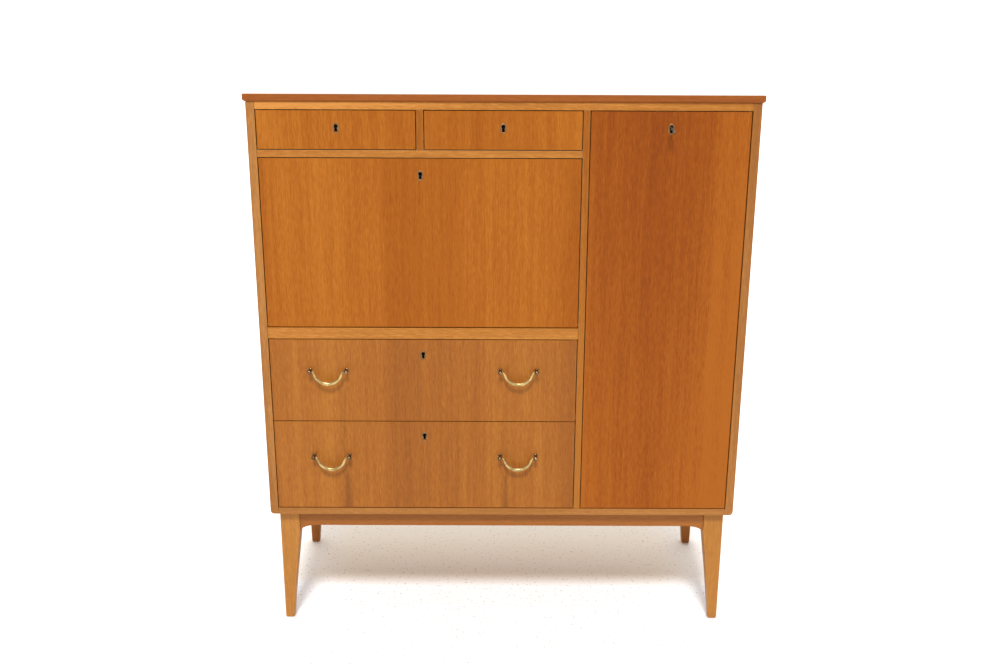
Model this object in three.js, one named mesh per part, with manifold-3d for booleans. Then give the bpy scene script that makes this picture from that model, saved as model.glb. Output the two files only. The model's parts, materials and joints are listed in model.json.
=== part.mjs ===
// Secretary desk: a veneered case on a low four-legged stand, with two small drawers over a drop-front
// writing flap, two full drawers below it, and a tall cupboard door on the right.
//
// Units are millimetres and +Z is up. Inside the case group, y = 0 is the front face of the case, +Y runs
// to the back, x = 0 is the middle of the case and z = 0 is the floor. The finished group is shifted along Y
// so that its origin lies under the middle of the whole bounding box.

import * as THREE from 'three';
import { mergeVertices } from 'three/addons/utils/BufferGeometryUtils.js';
import Module from 'manifold-3d';

const wasm = await Module();
wasm.setup();

// ---------------------------------------------------------------- driving dimensions

const CASE_WIDTH = 1060;
const CASE_DEPTH = 430;
const CASE_BOTTOM = 279;
const CASE_TOP = 1207;
const SIDE_THICKNESS = 18;
const BOARD_THICKNESS = 16;
const FRONT_THICKNESS = 20;
const BACK_THICKNESS = 8;
const BACK_INSET = 2;
const SIDE_CORNER_RADIUS = 10; // outer lower corner of each side
const FIT = 0.3; // gap between boards that are glued or rest on each other
const REVEAL = 1.8; // gap around every drawer, flap and door
const OVERCUT = 1; // how far a cutting block runs past the face it cuts

const SLAB_THICKNESS = 16;
const SLAB_OVERHANG = 5;
const SLAB_CHAMFER = 4;

// Heights of the fixed members of the front
const BOTTOM_PANEL_TOP = CASE_BOTTOM + BOARD_THICKNESS;
const DRAWER_JOINT = 507.7;
const DESK_RAIL = [700, 725];
const DECK = [1094, 1109];
const TOP_RAIL_BOTTOM = 1191.7;

// Upright members of the front
const BAY_LEFT = SIDE_THICKNESS - CASE_WIDTH / 2;
const BAY_RIGHT = -BAY_LEFT;
const PARTITION = [164, 178];
const DIVIDER = [-181, -166];
const RAIL_DEPTH = 60;

// Stand
const STAND_INSET = 17;
const LEG_TOP_WIDTH = 45;
const FOOT_WIDTH = 20;
const FOOT_EASING = 1.5;
const LEG_KNEE = 0.84; // share of the leg's height at which it reaches its full width
const LEG_CURVE = 0.18; // how hollow the taper is: 0 is straight, 1 is a parabola
const LEG_STEPS = 12;
const APRON_THICKNESS = 20;
const APRON_SETBACK = 3;
const APRON_BOTTOM = 241;
const BRACKET_LENGTH = 42;
const BRACKET_DROP = 12;
const BRACKET_PULL = 0.3; // where along the bracket its curve is steepest

// Writing flap, its pivots and its stays
const FLAP_AXIS_RISE = 5.5; // pivot line above the flap's lower edge
const FLAP_AXIS = [5, DESK_RAIL[1] + REVEAL + FLAP_AXIS_RISE]; // y and z of the pivot line
const FLAP_CORNER = 1.5;
const PIVOT_RADIUS = 2.2;
const PIVOT_LENGTH = 10;
const PIVOT_CLEARANCE = 0.4;
const PIVOT_BORE_SPARE = 2; // room past the end of each pivot pin
const PIVOT_PLATE = 1.2;
const PIVOT_PLATE_RADIUS = 4.4;
const STAY_RADIUS = 130; // both stay pivots lie this far from the flap's pivot line
const STAY_LUG = 6; // the stay's pivot stands this far behind the flap's inner face
const STAY_GUIDE_ANGLE = THREE.MathUtils.degToRad(60);
const STAY_BAR = [3, 8];
const STAY_EYE = { radius: 5, hole: 1.6 };
const STAY_STOP = { length: 5, lip: 2 };
const STAY_SPARE = 14; // bar left past the guide when the flap is open
const STAY_PLANE = 7.5; // middle of the stay, measured from the wall of the bay
const GUIDE_BLOCK = [9, 12, 16];
const GUIDE_STUB_RADIUS = 5;
const GUIDE_CLEARANCE = 0.5;
const WELD = 0.5; // how deep two halves of one casting run into each other

// Cupboard door
const DOOR_AXIS_INSET = 5; // the hinge line lies this far in from the door's edge and face
const DOOR_CORNER = 1.2; // the hinge-side corner is eased so that it clears the case as it turns

// Drawers
const TRAY_BACK = 400;
const TRAY_WALL = 10;
const TRAY_BOTTOM = 7;
const TRAY_CLEARANCE = 3;
const TRAY_LIFT = 1.5;
const SMALL_TRAY_DROP = 16; // front opening's top edge to the tray's rim
const LARGE_TRAY_DROP = 20; // front's top edge to the tray's rim
const FRONT_LIP = 10; // thickness of the upper front where it covers the dust board
const DUST_BOARD_THICKNESS = 14;

// Drop handles
const POST_SPACING = 80;
const HANDLE_OFFSET = 209; // handle middle to drawer middle
const HANDLE_REACH = 15; // drawer face to the bail's pivot line
const UPPER_HANDLE_Z = 628;
const LOWER_HANDLE_Z = 425;
const POST_BALL = 5;
const BAIL_WIRE = 2.75;
const PINTLE = 1.6;
const PINTLE_HOLE = 2;
const PINTLE_DEPTH = 1.4; // the hole's end, past the middle of the ball
const BAIL_END_GAP = 0.8; // ball to the end of the wire
// Half of a post's outline, as radius and reach, up to the ball
const POST_PROFILE = [[0, 0], [6, 0], [6, 1.2], [3.4, 2.6], [3, 9]];
// Half of the bail's centre line, as distances in from its end and down from its pivot line
const BAIL_CURVE = [[0, 0], [2, -0.6], [4.6, -6], [9, -15.5], [17, -24], [26.5, -28.3]];
const BAIL_DROP = 29;

// Locks
const KEYHOLE_DROP = 35.5; // top edge of a front to the middle of its keyhole
const KEYHOLE = [8, 16];
const LOCK_CAVITY_RADIUS = 8.5;
const LOCK_CAVITY = [6, 12]; // depth range behind the face
const BOLT = [22, 4, 24];
const BOLT_SLOT_CLEARANCE = 0.4;
const BOLT_MIDDLE_Y = 14;
const BOLT_SINK = 0.5;
const BOLT_TRAVEL = 5;
const POCKET_MARGIN = 1; // room around the bolt in the pocket that it rises into
const KEY_SHAFT_RADIUS = 2.2;
const KEY_REACH = 29;
const KEY_BOW = [16, 20, 3]; // length, height and thickness of the bow
const KEY_BOW_RIM = 3.5;
const KEY_REST_TURN = THREE.MathUtils.degToRad(-35); // the bow leans to the left while the door is unlocked
const KEY_BIT = { thickness: 2, reach: 7.5, margin: 1 };

// Interior
const SHELF_HEIGHTS = { lower: 585, upper: 885 };
const SHELF_FRONT = 26;
const UNIT_FRONT = 250;
const UNIT_HEIGHT = 190;
const UNIT_WALL = 9;
const UNIT_COLUMN = 190;
const UNIT_SHELF_LEVEL = 88;
const UNIT_SIDE_GAP = 2;

// ---------------------------------------------------------------- derived places

const BACK_FACE = CASE_DEPTH - BACK_INSET - BACK_THICKNESS; // front face of the back panel
const BOARD_BACK = BACK_FACE - FIT;
const DESK_FLOOR_TOP = FLAP_AXIS[1] + FRONT_THICKNESS - FLAP_AXIS[0];
const FLAP_SWING = Math.hypot(FRONT_THICKNESS - FLAP_AXIS[0], FLAP_AXIS_RISE); // reach of its lower back edge
const DESK_FLOOR_FRONT = FLAP_AXIS[0] + FLAP_SWING + 2 * FIT;
const DRAWER_MIDDLE_X = (BAY_LEFT + PARTITION[0]) / 2;
const LEG_TOP = CASE_BOTTOM - FIT;

// ---------------------------------------------------------------- materials

function finish(color, roughness, metalness = 0) {
  return new THREE.MeshStandardMaterial({ color, roughness, metalness });
}

const frontVeneer = finish(0xb86a2d, 0.45);
const doorVeneer = finish(0xaa5a1e, 0.45);
const caseVeneer = finish(0xb5672c, 0.45);
const edgeWood = finish(0xd28c3e, 0.45);
const legWood = finish(0xc48044, 0.45);
const innerWood = finish(0xc9a070, 0.6);
const agedBrass = finish(0xa8894e, 0.35, 1);
const steel = finish(0x6e6a64, 0.35, 1);

// ---------------------------------------------------------------- geometry helpers

function toSolid(geometry) {
  const bare = geometry.clone();
  bare.deleteAttribute('normal');
  bare.deleteAttribute('uv');
  const merged = mergeVertices(bare, 1e-4);
  return new wasm.Manifold(new wasm.Mesh({
    numProp: 3,
    vertProperties: new Float32Array(merged.attributes.position.array),
    triVerts: new Uint32Array(merged.index.array),
  }));
}

function toGeometry(solid) {
  const mesh = solid.getMesh();
  const geometry = new THREE.BufferGeometry();
  geometry.setAttribute('position', new THREE.BufferAttribute(new Float32Array(mesh.vertProperties), 3));
  geometry.setIndex(new THREE.BufferAttribute(new Uint32Array(mesh.triVerts), 1));
  geometry.computeVertexNormals();
  return geometry;
}

function cut(geometry, ...tools) {
  return toGeometry(tools.reduce((solid, tool) => solid.subtract(toSolid(tool)), toSolid(geometry)));
}

function join(...geometries) {
  return toGeometry(geometries.map(toSolid).reduce((all, solid) => all.add(solid)));
}

// A block between two limits on each axis
function block(x, y, z) {
  const geometry = new THREE.BoxGeometry(x[1] - x[0], y[1] - y[0], z[1] - z[0]);
  return geometry.translate((x[0] + x[1]) / 2, (y[0] + y[1]) / 2, (z[0] + z[1]) / 2);
}

// A cylinder of this radius along one axis, between two limits, with its centre line at u, v on the others
function rod(axis, radius, limits, u, v, sides = 16) {
  const geometry = new THREE.CylinderGeometry(radius, radius, limits[1] - limits[0], sides);
  const middle = (limits[0] + limits[1]) / 2;
  if (axis === 'x') {
    return geometry.rotateZ(Math.PI / 2).translate(middle, u, v);
  }
  if (axis === 'y') {
    return geometry.translate(u, middle, v);
  }
  return geometry.rotateX(Math.PI / 2).translate(u, v, middle);
}

// A prism whose outline lies in the XZ plane, running along +Y between two limits
function prismAlongY(shape, y) {
  const geometry = new THREE.ExtrudeGeometry(shape, {
    depth: y[1] - y[0],
    bevelEnabled: false,
    curveSegments: 10,
  });
  return geometry.rotateX(Math.PI / 2).translate(0, y[1], 0);
}

// A prism whose outline lies in the YZ plane, running along +X between two limits
function prismAlongX(shape, x) {
  const geometry = new THREE.ExtrudeGeometry(shape, {
    depth: x[1] - x[0],
    bevelEnabled: false,
    curveSegments: 10,
  });
  return geometry.rotateX(Math.PI / 2).rotateZ(Math.PI / 2).translate(x[0], 0, 0);
}

// A prism whose outline lies in the XY plane, running along +Z between two limits
function prismAlongZ(shape, z) {
  const geometry = new THREE.ExtrudeGeometry(shape, { depth: z[1] - z[0], bevelEnabled: false });
  return geometry.translate(0, 0, z[0]);
}

function outline(points) {
  return new THREE.Shape(points.map(([u, v]) => new THREE.Vector2(u, v)));
}

// An upright slot with round ends
function slotShape(width, height, middle = [0, 0]) {
  const shape = new THREE.Shape();
  const radius = width / 2;
  const half = height / 2 - radius;
  shape.absarc(middle[0], middle[1] + half, radius, 0, Math.PI);
  shape.absarc(middle[0], middle[1] - half, radius, Math.PI, 2 * Math.PI);
  return shape;
}

function part(name, geometry, material) {
  const mesh = new THREE.Mesh(geometry, material);
  mesh.name = name;
  return mesh;
}

function widened([low, high], margin) {
  return [low - margin, high + margin];
}

function narrowed([low, high], margin) {
  return [low + margin, high - margin];
}

// ---------------------------------------------------------------- case

// The pocket in a rail that a lock's bolt rises into
function boltPocket(x, railBottom) {
  const halfWidth = BOLT[0] / 2 + POCKET_MARGIN;
  const halfDepth = BOLT[1] / 2 + POCKET_MARGIN;
  return block(
    [x - halfWidth, x + halfWidth],
    [BOLT_MIDDLE_Y - halfDepth, BOLT_MIDDLE_Y + halfDepth],
    [railBottom - OVERCUT, railBottom + BOLT_TRAVEL],
  );
}

function topPanel() {
  const width = CASE_WIDTH + 2 * SLAB_OVERHANG;
  const geometry = new THREE.BoxGeometry(width, CASE_DEPTH + SLAB_OVERHANG, SLAB_THICKNESS, 1, 1, 2);
  const place = geometry.attributes.position;
  const shoulder = SLAB_CHAMFER - SLAB_THICKNESS / 2;
  for (let i = 0; i < place.count; i += 1) {
    const z = place.getZ(i);
    if (z < -SLAB_CHAMFER) {
      place.setX(i, place.getX(i) - Math.sign(place.getX(i)) * SLAB_CHAMFER);
      if (place.getY(i) < 0) {
        place.setY(i, place.getY(i) + SLAB_CHAMFER);
      }
    } else if (z < SLAB_CHAMFER) {
      place.setZ(i, shoulder);
    }
  }
  geometry.translate(0, (CASE_DEPTH - SLAB_OVERHANG) / 2, CASE_TOP + FIT + SLAB_THICKNESS / 2);
  return part('top_panel', geometry, caseVeneer);
}

// A side with its outer lower corner rounded
function sidePanel(name, side) {
  const inner = side * BAY_RIGHT;
  const outer = side * CASE_WIDTH / 2;
  const shape = new THREE.Shape();
  shape.moveTo(inner, CASE_TOP);
  shape.lineTo(inner, CASE_BOTTOM);
  shape.lineTo(outer - side * SIDE_CORNER_RADIUS, CASE_BOTTOM);
  shape.quadraticCurveTo(outer, CASE_BOTTOM, outer, CASE_BOTTOM + SIDE_CORNER_RADIUS);
  shape.lineTo(outer, CASE_TOP);
  return part(name, prismAlongY(shape, [0, CASE_DEPTH]), caseVeneer);
}

function caseBoards() {
  const bay = [BAY_LEFT + FIT, BAY_RIGHT - FIT];
  const leftBay = [BAY_LEFT + FIT, PARTITION[0] - FIT];
  const uprightTop = TOP_RAIL_BOTTOM - FIT;
  const depth = [0, BOARD_BACK];
  const lockPlaces = [BAY_LEFT + DIVIDER[0], DIVIDER[1] + PARTITION[0], PARTITION[1] + BAY_RIGHT];
  const pockets = lockPlaces.map((sum) => boltPocket(sum / 2, TOP_RAIL_BOTTOM));
  const topRail = cut(block(bay, [0, RAIL_DEPTH], [TOP_RAIL_BOTTOM, CASE_TOP]), ...pockets);
  const deck = cut(block(leftBay, depth, DECK), boltPocket(DRAWER_MIDDLE_X, DECK[0]));
  const railPocket = boltPocket(DRAWER_MIDDLE_X, DESK_RAIL[0]);
  const deskRail = cut(block(leftBay, [0, RAIL_DEPTH], DESK_RAIL), railPocket);
  const deskFloor = block(leftBay, [DESK_FLOOR_FRONT, BOARD_BACK], [DESK_RAIL[1] + FIT, DESK_FLOOR_TOP]);
  const dustBoardBottom = DRAWER_JOINT + REVEAL / 2;
  const dustBoardHeights = [dustBoardBottom, dustBoardBottom + DUST_BOARD_THICKNESS];
  const dustBoard = cut(
    block(leftBay, [FRONT_LIP + 2 * FIT, BOARD_BACK], dustBoardHeights),
    boltPocket(DRAWER_MIDDLE_X, dustBoardBottom),
  );
  const back = block(bay, [BACK_FACE, BACK_FACE + BACK_THICKNESS], [CASE_BOTTOM, CASE_TOP]);
  return [
    part('bottom_panel', block(bay, depth, [CASE_BOTTOM, BOTTOM_PANEL_TOP]), edgeWood),
    part('partition', block(PARTITION, depth, [BOTTOM_PANEL_TOP + FIT, uprightTop]), edgeWood),
    part('back_panel', back, innerWood),
    part('top_rail', topRail, edgeWood),
    part('drawer_deck', deck, edgeWood),
    part('drawer_divider', block(DIVIDER, depth, [DECK[1] + FIT, uprightTop]), edgeWood),
    part('desk_rail', deskRail, edgeWood),
    part('desk_floor', deskFloor, caseVeneer),
    part('dust_board', dustBoard, innerWood),
  ];
}

function cupboardShelves() {
  const x = [PARTITION[1] + FIT, BAY_RIGHT - FIT];
  const y = [SHELF_FRONT, BOARD_BACK];
  return Object.entries(SHELF_HEIGHTS).map(([level, z]) => (
    part(`cupboard_shelf_${level}`, block(x, y, [z, z + BOARD_THICKNESS]), innerWood)
  ));
}

// One box with a tall middle hole and two outer columns, each split by a small shelf
function pigeonholeUnit() {
  const x = [BAY_LEFT + UNIT_SIDE_GAP, PARTITION[0] - UNIT_SIDE_GAP];
  const bottom = DESK_FLOOR_TOP + FIT;
  const y = [UNIT_FRONT, BOARD_BACK - FIT];
  const hollowDepth = [y[0] - OVERCUT, y[1] - UNIT_WALL];
  const rows = [
    [bottom + UNIT_WALL, bottom + UNIT_SHELF_LEVEL],
    [bottom + UNIT_SHELF_LEVEL + UNIT_WALL, bottom + UNIT_HEIGHT - UNIT_WALL],
  ];
  const columns = [
    [x[0] + UNIT_WALL, x[0] + UNIT_WALL + UNIT_COLUMN],
    [x[1] - UNIT_WALL - UNIT_COLUMN, x[1] - UNIT_WALL],
  ];
  const hollows = columns.flatMap((column) => rows.map((row) => block(column, hollowDepth, row)));
  const middle = [columns[0][1] + UNIT_WALL, columns[1][0] - UNIT_WALL];
  hollows.push(block(middle, hollowDepth, [rows[0][0], rows[1][1]]));
  return part('pigeonhole_unit', cut(block(x, y, [bottom, bottom + UNIT_HEIGHT]), ...hollows), innerWood);
}

// ---------------------------------------------------------------- stand

// Width of a leg at a height: nearly straight at the floor, opening out gently towards the case
function legWidth(z) {
  const rise = Math.min(z / LEG_TOP / LEG_KNEE, 1);
  return FOOT_WIDTH + (LEG_TOP_WIDTH - FOOT_WIDTH) * ((1 - LEG_CURVE) * rise + LEG_CURVE * rise ** 2);
}

// A leg whose two outer faces are upright and whose two inner faces taper; it is made for the front left
function legGeometry() {
  const geometry = new THREE.BoxGeometry(1, 1, 1, 1, 1, LEG_STEPS);
  const place = geometry.attributes.position;
  for (let i = 0; i < place.count; i += 1) {
    const level = Math.round((place.getZ(i) + 0.5) * LEG_STEPS);
    const z = level <= 1 ? level * 2 * FOOT_EASING : (level / LEG_STEPS) * LEG_TOP;
    const ease = level === 0 ? FOOT_EASING : 0;
    const width = legWidth(z);
    place.setXYZ(
      i,
      place.getX(i) < 0 ? ease : width - ease,
      place.getY(i) < 0 ? ease : width - ease,
      z,
    );
  }
  return geometry;
}

function leg(name, sideX, sideY) {
  const geometry = legGeometry();
  const group = new THREE.Group();
  const corner = [sideX * (CASE_WIDTH / 2 - STAND_INSET), sideY < 0 ? STAND_INSET : CASE_DEPTH - STAND_INSET];
  // Quarter turns keep the faces outward where a mirror would not
  const turns = { '-1,-1': 0, '1,-1': 1, '1,1': 2, '-1,1': 3 }[`${sideX},${sideY}`];
  const mesh = part(name, geometry, legWood);
  mesh.rotation.z = turns * Math.PI / 2;
  group.position.set(corner[0], corner[1], 0);
  group.add(mesh);
  return group;
}

// An apron that drops in a hollow curve to each leg; length runs along X, front face at y = 0
function apronGeometry(length) {
  const half = length / 2;
  const pull = half - BRACKET_LENGTH * BRACKET_PULL;
  const shape = new THREE.Shape();
  shape.moveTo(-half, LEG_TOP);
  shape.lineTo(-half, APRON_BOTTOM - BRACKET_DROP);
  shape.quadraticCurveTo(-pull, APRON_BOTTOM, BRACKET_LENGTH - half, APRON_BOTTOM);
  shape.lineTo(half - BRACKET_LENGTH, APRON_BOTTOM);
  shape.quadraticCurveTo(pull, APRON_BOTTOM, half, APRON_BOTTOM - BRACKET_DROP);
  shape.lineTo(half, LEG_TOP);
  return prismAlongY(shape, [0, APRON_THICKNESS]);
}

function aprons() {
  const legZone = STAND_INSET + LEG_TOP_WIDTH + FIT;
  const longRun = CASE_WIDTH - 2 * legZone;
  const shortRun = CASE_DEPTH - 2 * legZone;
  const edge = STAND_INSET + APRON_SETBACK;
  const front = part('apron_front', apronGeometry(longRun), legWood);
  front.position.y = edge;
  const rear = part('apron_rear', apronGeometry(longRun), legWood);
  rear.position.y = CASE_DEPTH - edge - APRON_THICKNESS;
  const left = part('apron_left', apronGeometry(shortRun), legWood);
  left.rotation.z = -Math.PI / 2;
  left.position.set(edge - CASE_WIDTH / 2, CASE_DEPTH / 2, 0);
  const right = part('apron_right', apronGeometry(shortRun), legWood);
  right.rotation.z = Math.PI / 2;
  right.position.set(CASE_WIDTH / 2 - edge, CASE_DEPTH / 2, 0);
  return [front, rear, left, right];
}

// ---------------------------------------------------------------- locks

// Everything a lock takes out of a front: the keyhole, the room for the key's bit, and the bolt's slot
function lockCuts(x, top) {
  const z = top - KEYHOLE_DROP;
  const halfWidth = BOLT[0] / 2 + BOLT_SLOT_CLEARANCE;
  const halfDepth = BOLT[1] / 2 + BOLT_SLOT_CLEARANCE;
  return [
    prismAlongY(slotShape(KEYHOLE[0], KEYHOLE[1], [x, z]), [-OVERCUT, LOCK_CAVITY[0] + OVERCUT]),
    rod('y', LOCK_CAVITY_RADIUS, LOCK_CAVITY, x, z),
    block(
      [x - halfWidth, x + halfWidth],
      [BOLT_MIDDLE_Y - halfDepth, BOLT_MIDDLE_Y + halfDepth],
      [top - BOLT_SINK - BOLT[2] - BOLT_SLOT_CLEARANCE, top + OVERCUT],
    ),
  ];
}

function lockBolt(name, x, top) {
  const mesh = part(name, new THREE.BoxGeometry(...BOLT), steel);
  mesh.position.set(x, BOLT_MIDDLE_Y, top - BOLT_SINK - BOLT[2] / 2);
  return mesh;
}

// Shaft, bit and bow in one, with the shaft's line on y and the bow in the YZ plane
function keyGeometry() {
  const bowMiddle = KEY_BOW[0] / 2 - KEY_REACH;
  const bow = new THREE.Shape();
  bow.absellipse(bowMiddle, 0, KEY_BOW[0] / 2, KEY_BOW[1] / 2, 0, 2 * Math.PI);
  const hole = new THREE.Path();
  hole.absellipse(bowMiddle, 0, KEY_BOW[0] / 2 - KEY_BOW_RIM, KEY_BOW[1] / 2 - KEY_BOW_RIM, 0, 2 * Math.PI);
  bow.holes.push(hole);
  const shaftFront = KEY_BOW[0] - KEY_REACH - KEY_BOW_RIM / 2;
  const halfBit = KEY_BIT.thickness / 2;
  return join(
    rod('y', KEY_SHAFT_RADIUS, [shaftFront, LOCK_CAVITY[1] - KEY_BIT.margin / 2], 0, 0),
    block([-halfBit, halfBit], narrowed(LOCK_CAVITY, KEY_BIT.margin), [-KEY_BIT.reach, 0]),
    prismAlongX(bow, [-KEY_BOW[2] / 2, KEY_BOW[2] / 2]),
  );
}

// ---------------------------------------------------------------- drop handles

// A turned post: round rosette, neck and ball, standing out along -Y, with a hole for the bail's pintle
function postGeometry(holeSide) {
  const points = POST_PROFILE.map(([radius, reach]) => new THREE.Vector2(radius, reach));
  const steps = 8;
  for (let i = 2; i < steps; i += 1) {
    const angle = Math.PI * (1 - i / steps);
    const reach = HANDLE_REACH + POST_BALL * Math.cos(angle);
    points.push(new THREE.Vector2(POST_BALL * Math.sin(angle), reach));
  }
  points.push(new THREE.Vector2(0, HANDLE_REACH + POST_BALL));
  const turned = new THREE.LatheGeometry(points, 14).rotateZ(Math.PI).translate(0, -FIT, 0);
  const ends = [holeSide * (POST_BALL + OVERCUT), -holeSide * PINTLE_DEPTH].sort((a, b) => a - b);
  return cut(turned, rod('x', PINTLE_HOLE, ends, -HANDLE_REACH - FIT, 0, 12));
}

// The swinging wire with its two end pintles; the pivot line is the local X axis
function bailGeometry() {
  const end = POST_SPACING / 2 - POST_BALL - BAIL_END_GAP;
  const route = [
    ...BAIL_CURVE.map(([inward, z]) => new THREE.Vector3(inward - end, 0, z)),
    new THREE.Vector3(0, 0, -BAIL_DROP),
    ...BAIL_CURVE.map(([inward, z]) => new THREE.Vector3(end - inward, 0, z)).reverse(),
  ];
  const section = new THREE.Shape();
  section.absarc(0, 0, BAIL_WIRE, 0, 2 * Math.PI);
  const wire = new THREE.ExtrudeGeometry(section, {
    steps: 22,
    curveSegments: 4,
    extrudePath: new THREE.CatmullRomCurve3(route),
  });
  const pintle = (side) => {
    const ends = [side * (end - PINTLE), side * (POST_SPACING / 2 + PINTLE_DEPTH / 2)];
    return rod('x', PINTLE, ends.sort((a, b) => a - b), 0, 0, 10);
  };
  return join(wire, pintle(-1), pintle(1));
}

function handle(prefix, side, z) {
  const group = new THREE.Group();
  group.position.set(DRAWER_MIDDLE_X + (side === 'left' ? -HANDLE_OFFSET : HANDLE_OFFSET), 0, z);
  const outer = part(`${prefix}_${side}_handle_post_1`, postGeometry(1), agedBrass);
  outer.position.x = -POST_SPACING / 2;
  const inner = part(`${prefix}_${side}_handle_post_2`, postGeometry(-1), agedBrass);
  inner.position.x = POST_SPACING / 2;
  const bail = part(`${prefix}_${side}_bail`, bailGeometry(), agedBrass);
  bail.position.y = -HANDLE_REACH - FIT;
  group.add(outer, inner, bail);
  return group;
}

// ---------------------------------------------------------------- drawers

// Three walls and a bottom in one, open to the front where the drawer front closes it
function trayGeometry(bay, floor, top) {
  const x = narrowed(bay, TRAY_CLEARANCE);
  const y = [FRONT_THICKNESS + FIT, TRAY_BACK];
  const z = [floor + TRAY_LIFT, top];
  const hollow = block(
    narrowed(x, TRAY_WALL),
    [y[0] - OVERCUT, y[1] - TRAY_WALL],
    [z[0] + TRAY_BOTTOM, z[1] + OVERCUT],
  );
  return cut(block(x, y, z), hollow);
}

function smallDrawer(side, bay) {
  const group = new THREE.Group();
  const x = narrowed(bay, REVEAL);
  const z = [DECK[1] + REVEAL, TOP_RAIL_BOTTOM - REVEAL];
  const middle = (bay[0] + bay[1]) / 2;
  const front = cut(block(x, [0, FRONT_THICKNESS], z), ...lockCuts(middle, z[1]));
  const tray = trayGeometry(bay, DECK[1], TOP_RAIL_BOTTOM - SMALL_TRAY_DROP);
  group.add(
    part(`small_drawer_${side}_front`, front, frontVeneer),
    part(`small_drawer_${side}_tray`, tray, innerWood),
    lockBolt(`small_drawer_${side}_bolt`, middle, z[1]),
  );
  return group;
}

// The upper front is rebated at its lower back edge, where it covers the dust board
function upperDrawerFront(x, z) {
  const rebate = block(
    widened(x, OVERCUT),
    [FRONT_LIP, FRONT_THICKNESS + OVERCUT],
    [z[0] - OVERCUT, z[0] + DUST_BOARD_THICKNESS + TRAY_LIFT],
  );
  return cut(block(x, [0, FRONT_THICKNESS], z), rebate, ...lockCuts(DRAWER_MIDDLE_X, z[1]));
}

function largeDrawer(level) {
  const group = new THREE.Group();
  const bay = [BAY_LEFT, PARTITION[0]];
  const x = narrowed(bay, REVEAL);
  const upper = level === 'upper';
  const z = upper
    ? [DRAWER_JOINT + REVEAL / 2, DESK_RAIL[0] - REVEAL]
    : [BOTTOM_PANEL_TOP + REVEAL, DRAWER_JOINT - REVEAL / 2];
  const front = upper
    ? upperDrawerFront(x, z)
    : cut(block(x, [0, FRONT_THICKNESS], z), ...lockCuts(DRAWER_MIDDLE_X, z[1]));
  const floor = upper ? z[0] + DUST_BOARD_THICKNESS : BOTTOM_PANEL_TOP;
  const handleZ = upper ? UPPER_HANDLE_Z : LOWER_HANDLE_Z;
  group.add(
    part(`${level}_drawer_front`, front, frontVeneer),
    part(`${level}_drawer_tray`, trayGeometry(bay, floor, z[1] - LARGE_TRAY_DROP), innerWood),
    lockBolt(`${level}_drawer_bolt`, DRAWER_MIDDLE_X, z[1]),
    handle(`${level}_drawer`, 'left', handleZ),
    handle(`${level}_drawer`, 'right', handleZ),
  );
  return group;
}

// ---------------------------------------------------------------- flap

// The holes for two pivot pins, one in each end of a panel that spans these limits
function pivotBores(axis, limits, line) {
  const depth = PIVOT_LENGTH + PIVOT_BORE_SPARE;
  const radius = PIVOT_RADIUS + PIVOT_CLEARANCE;
  return [
    rod(axis, radius, [limits[0] - OVERCUT, limits[0] + depth], ...line),
    rod(axis, radius, [limits[1] - depth, limits[1] + OVERCUT], ...line),
  ];
}

function flapPanel() {
  const x = narrowed([BAY_LEFT, PARTITION[0]], REVEAL);
  const z = [DESK_RAIL[1] + REVEAL, DECK[0] - REVEAL];
  const profile = outline([
    [FLAP_CORNER, z[0]],
    [FRONT_THICKNESS, z[0]],
    [FRONT_THICKNESS, z[1]],
    [0, z[1]],
    [0, z[0] + FLAP_CORNER],
  ]);
  const geometry = cut(
    prismAlongX(profile, x),
    ...pivotBores('x', x, FLAP_AXIS),
    ...lockCuts(DRAWER_MIDDLE_X, z[1]),
  );
  const group = new THREE.Group();
  group.add(part('flap_panel', geometry, frontVeneer), lockBolt('flap_bolt', DRAWER_MIDDLE_X, z[1]));
  return group;
}

// A pin on a thin round plate that sits in the reveal. The plate is at the origin and the pin runs to +X.
function pivotGeometry() {
  return join(
    rod('x', PIVOT_PLATE_RADIUS, [FIT, PIVOT_PLATE], 0, 0),
    rod('x', PIVOT_RADIUS, [PIVOT_PLATE - WELD, REVEAL + PIVOT_LENGTH], 0, 0),
  );
}

function flapPivots() {
  const left = part('flap_pivot_left', pivotGeometry(), steel);
  left.position.set(BAY_LEFT, ...FLAP_AXIS);
  const right = part('flap_pivot_right', pivotGeometry(), steel);
  right.position.set(PARTITION[0], ...FLAP_AXIS);
  right.rotation.z = Math.PI;
  return [left, right];
}

// Both stay pivots lie on one circle about the flap's pivot line, so a stay turns half as far as the flap
function stayPlaces() {
  const lugY = FRONT_THICKNESS + STAY_LUG - FLAP_AXIS[0];
  const lug = new THREE.Vector2(lugY, Math.sqrt(STAY_RADIUS ** 2 - lugY ** 2));
  const guide = new THREE.Vector2(
    STAY_RADIUS * Math.cos(STAY_GUIDE_ANGLE),
    STAY_RADIUS * Math.sin(STAY_GUIDE_ANGLE),
  );
  const openSpan = 2 * STAY_RADIUS * Math.sin((lug.angle() - guide.angle() + Math.PI / 2) / 2);
  const axis = new THREE.Vector2(...FLAP_AXIS);
  const slope = guide.clone().sub(lug).angle();
  return { lug: lug.add(axis), guide: guide.add(axis), slope, length: openSpan + STAY_SPARE };
}

// A flat bar along +Y with an eye at the origin and a stop at its far end
function stayGeometry(length) {
  const [thickness, height] = STAY_BAR;
  const x = [-thickness / 2, thickness / 2];
  const half = [-height / 2, height / 2];
  const eye = cut(
    rod('x', STAY_EYE.radius, x, 0, 0),
    rod('x', STAY_EYE.hole, widened(x, OVERCUT), 0, 0, 12),
  );
  const bar = block(x, [height / 2, length], half);
  const stop = block(x, [length - STAY_STOP.length, length], widened(half, STAY_STOP.lip));
  return join(eye, bar, stop);
}

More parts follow.
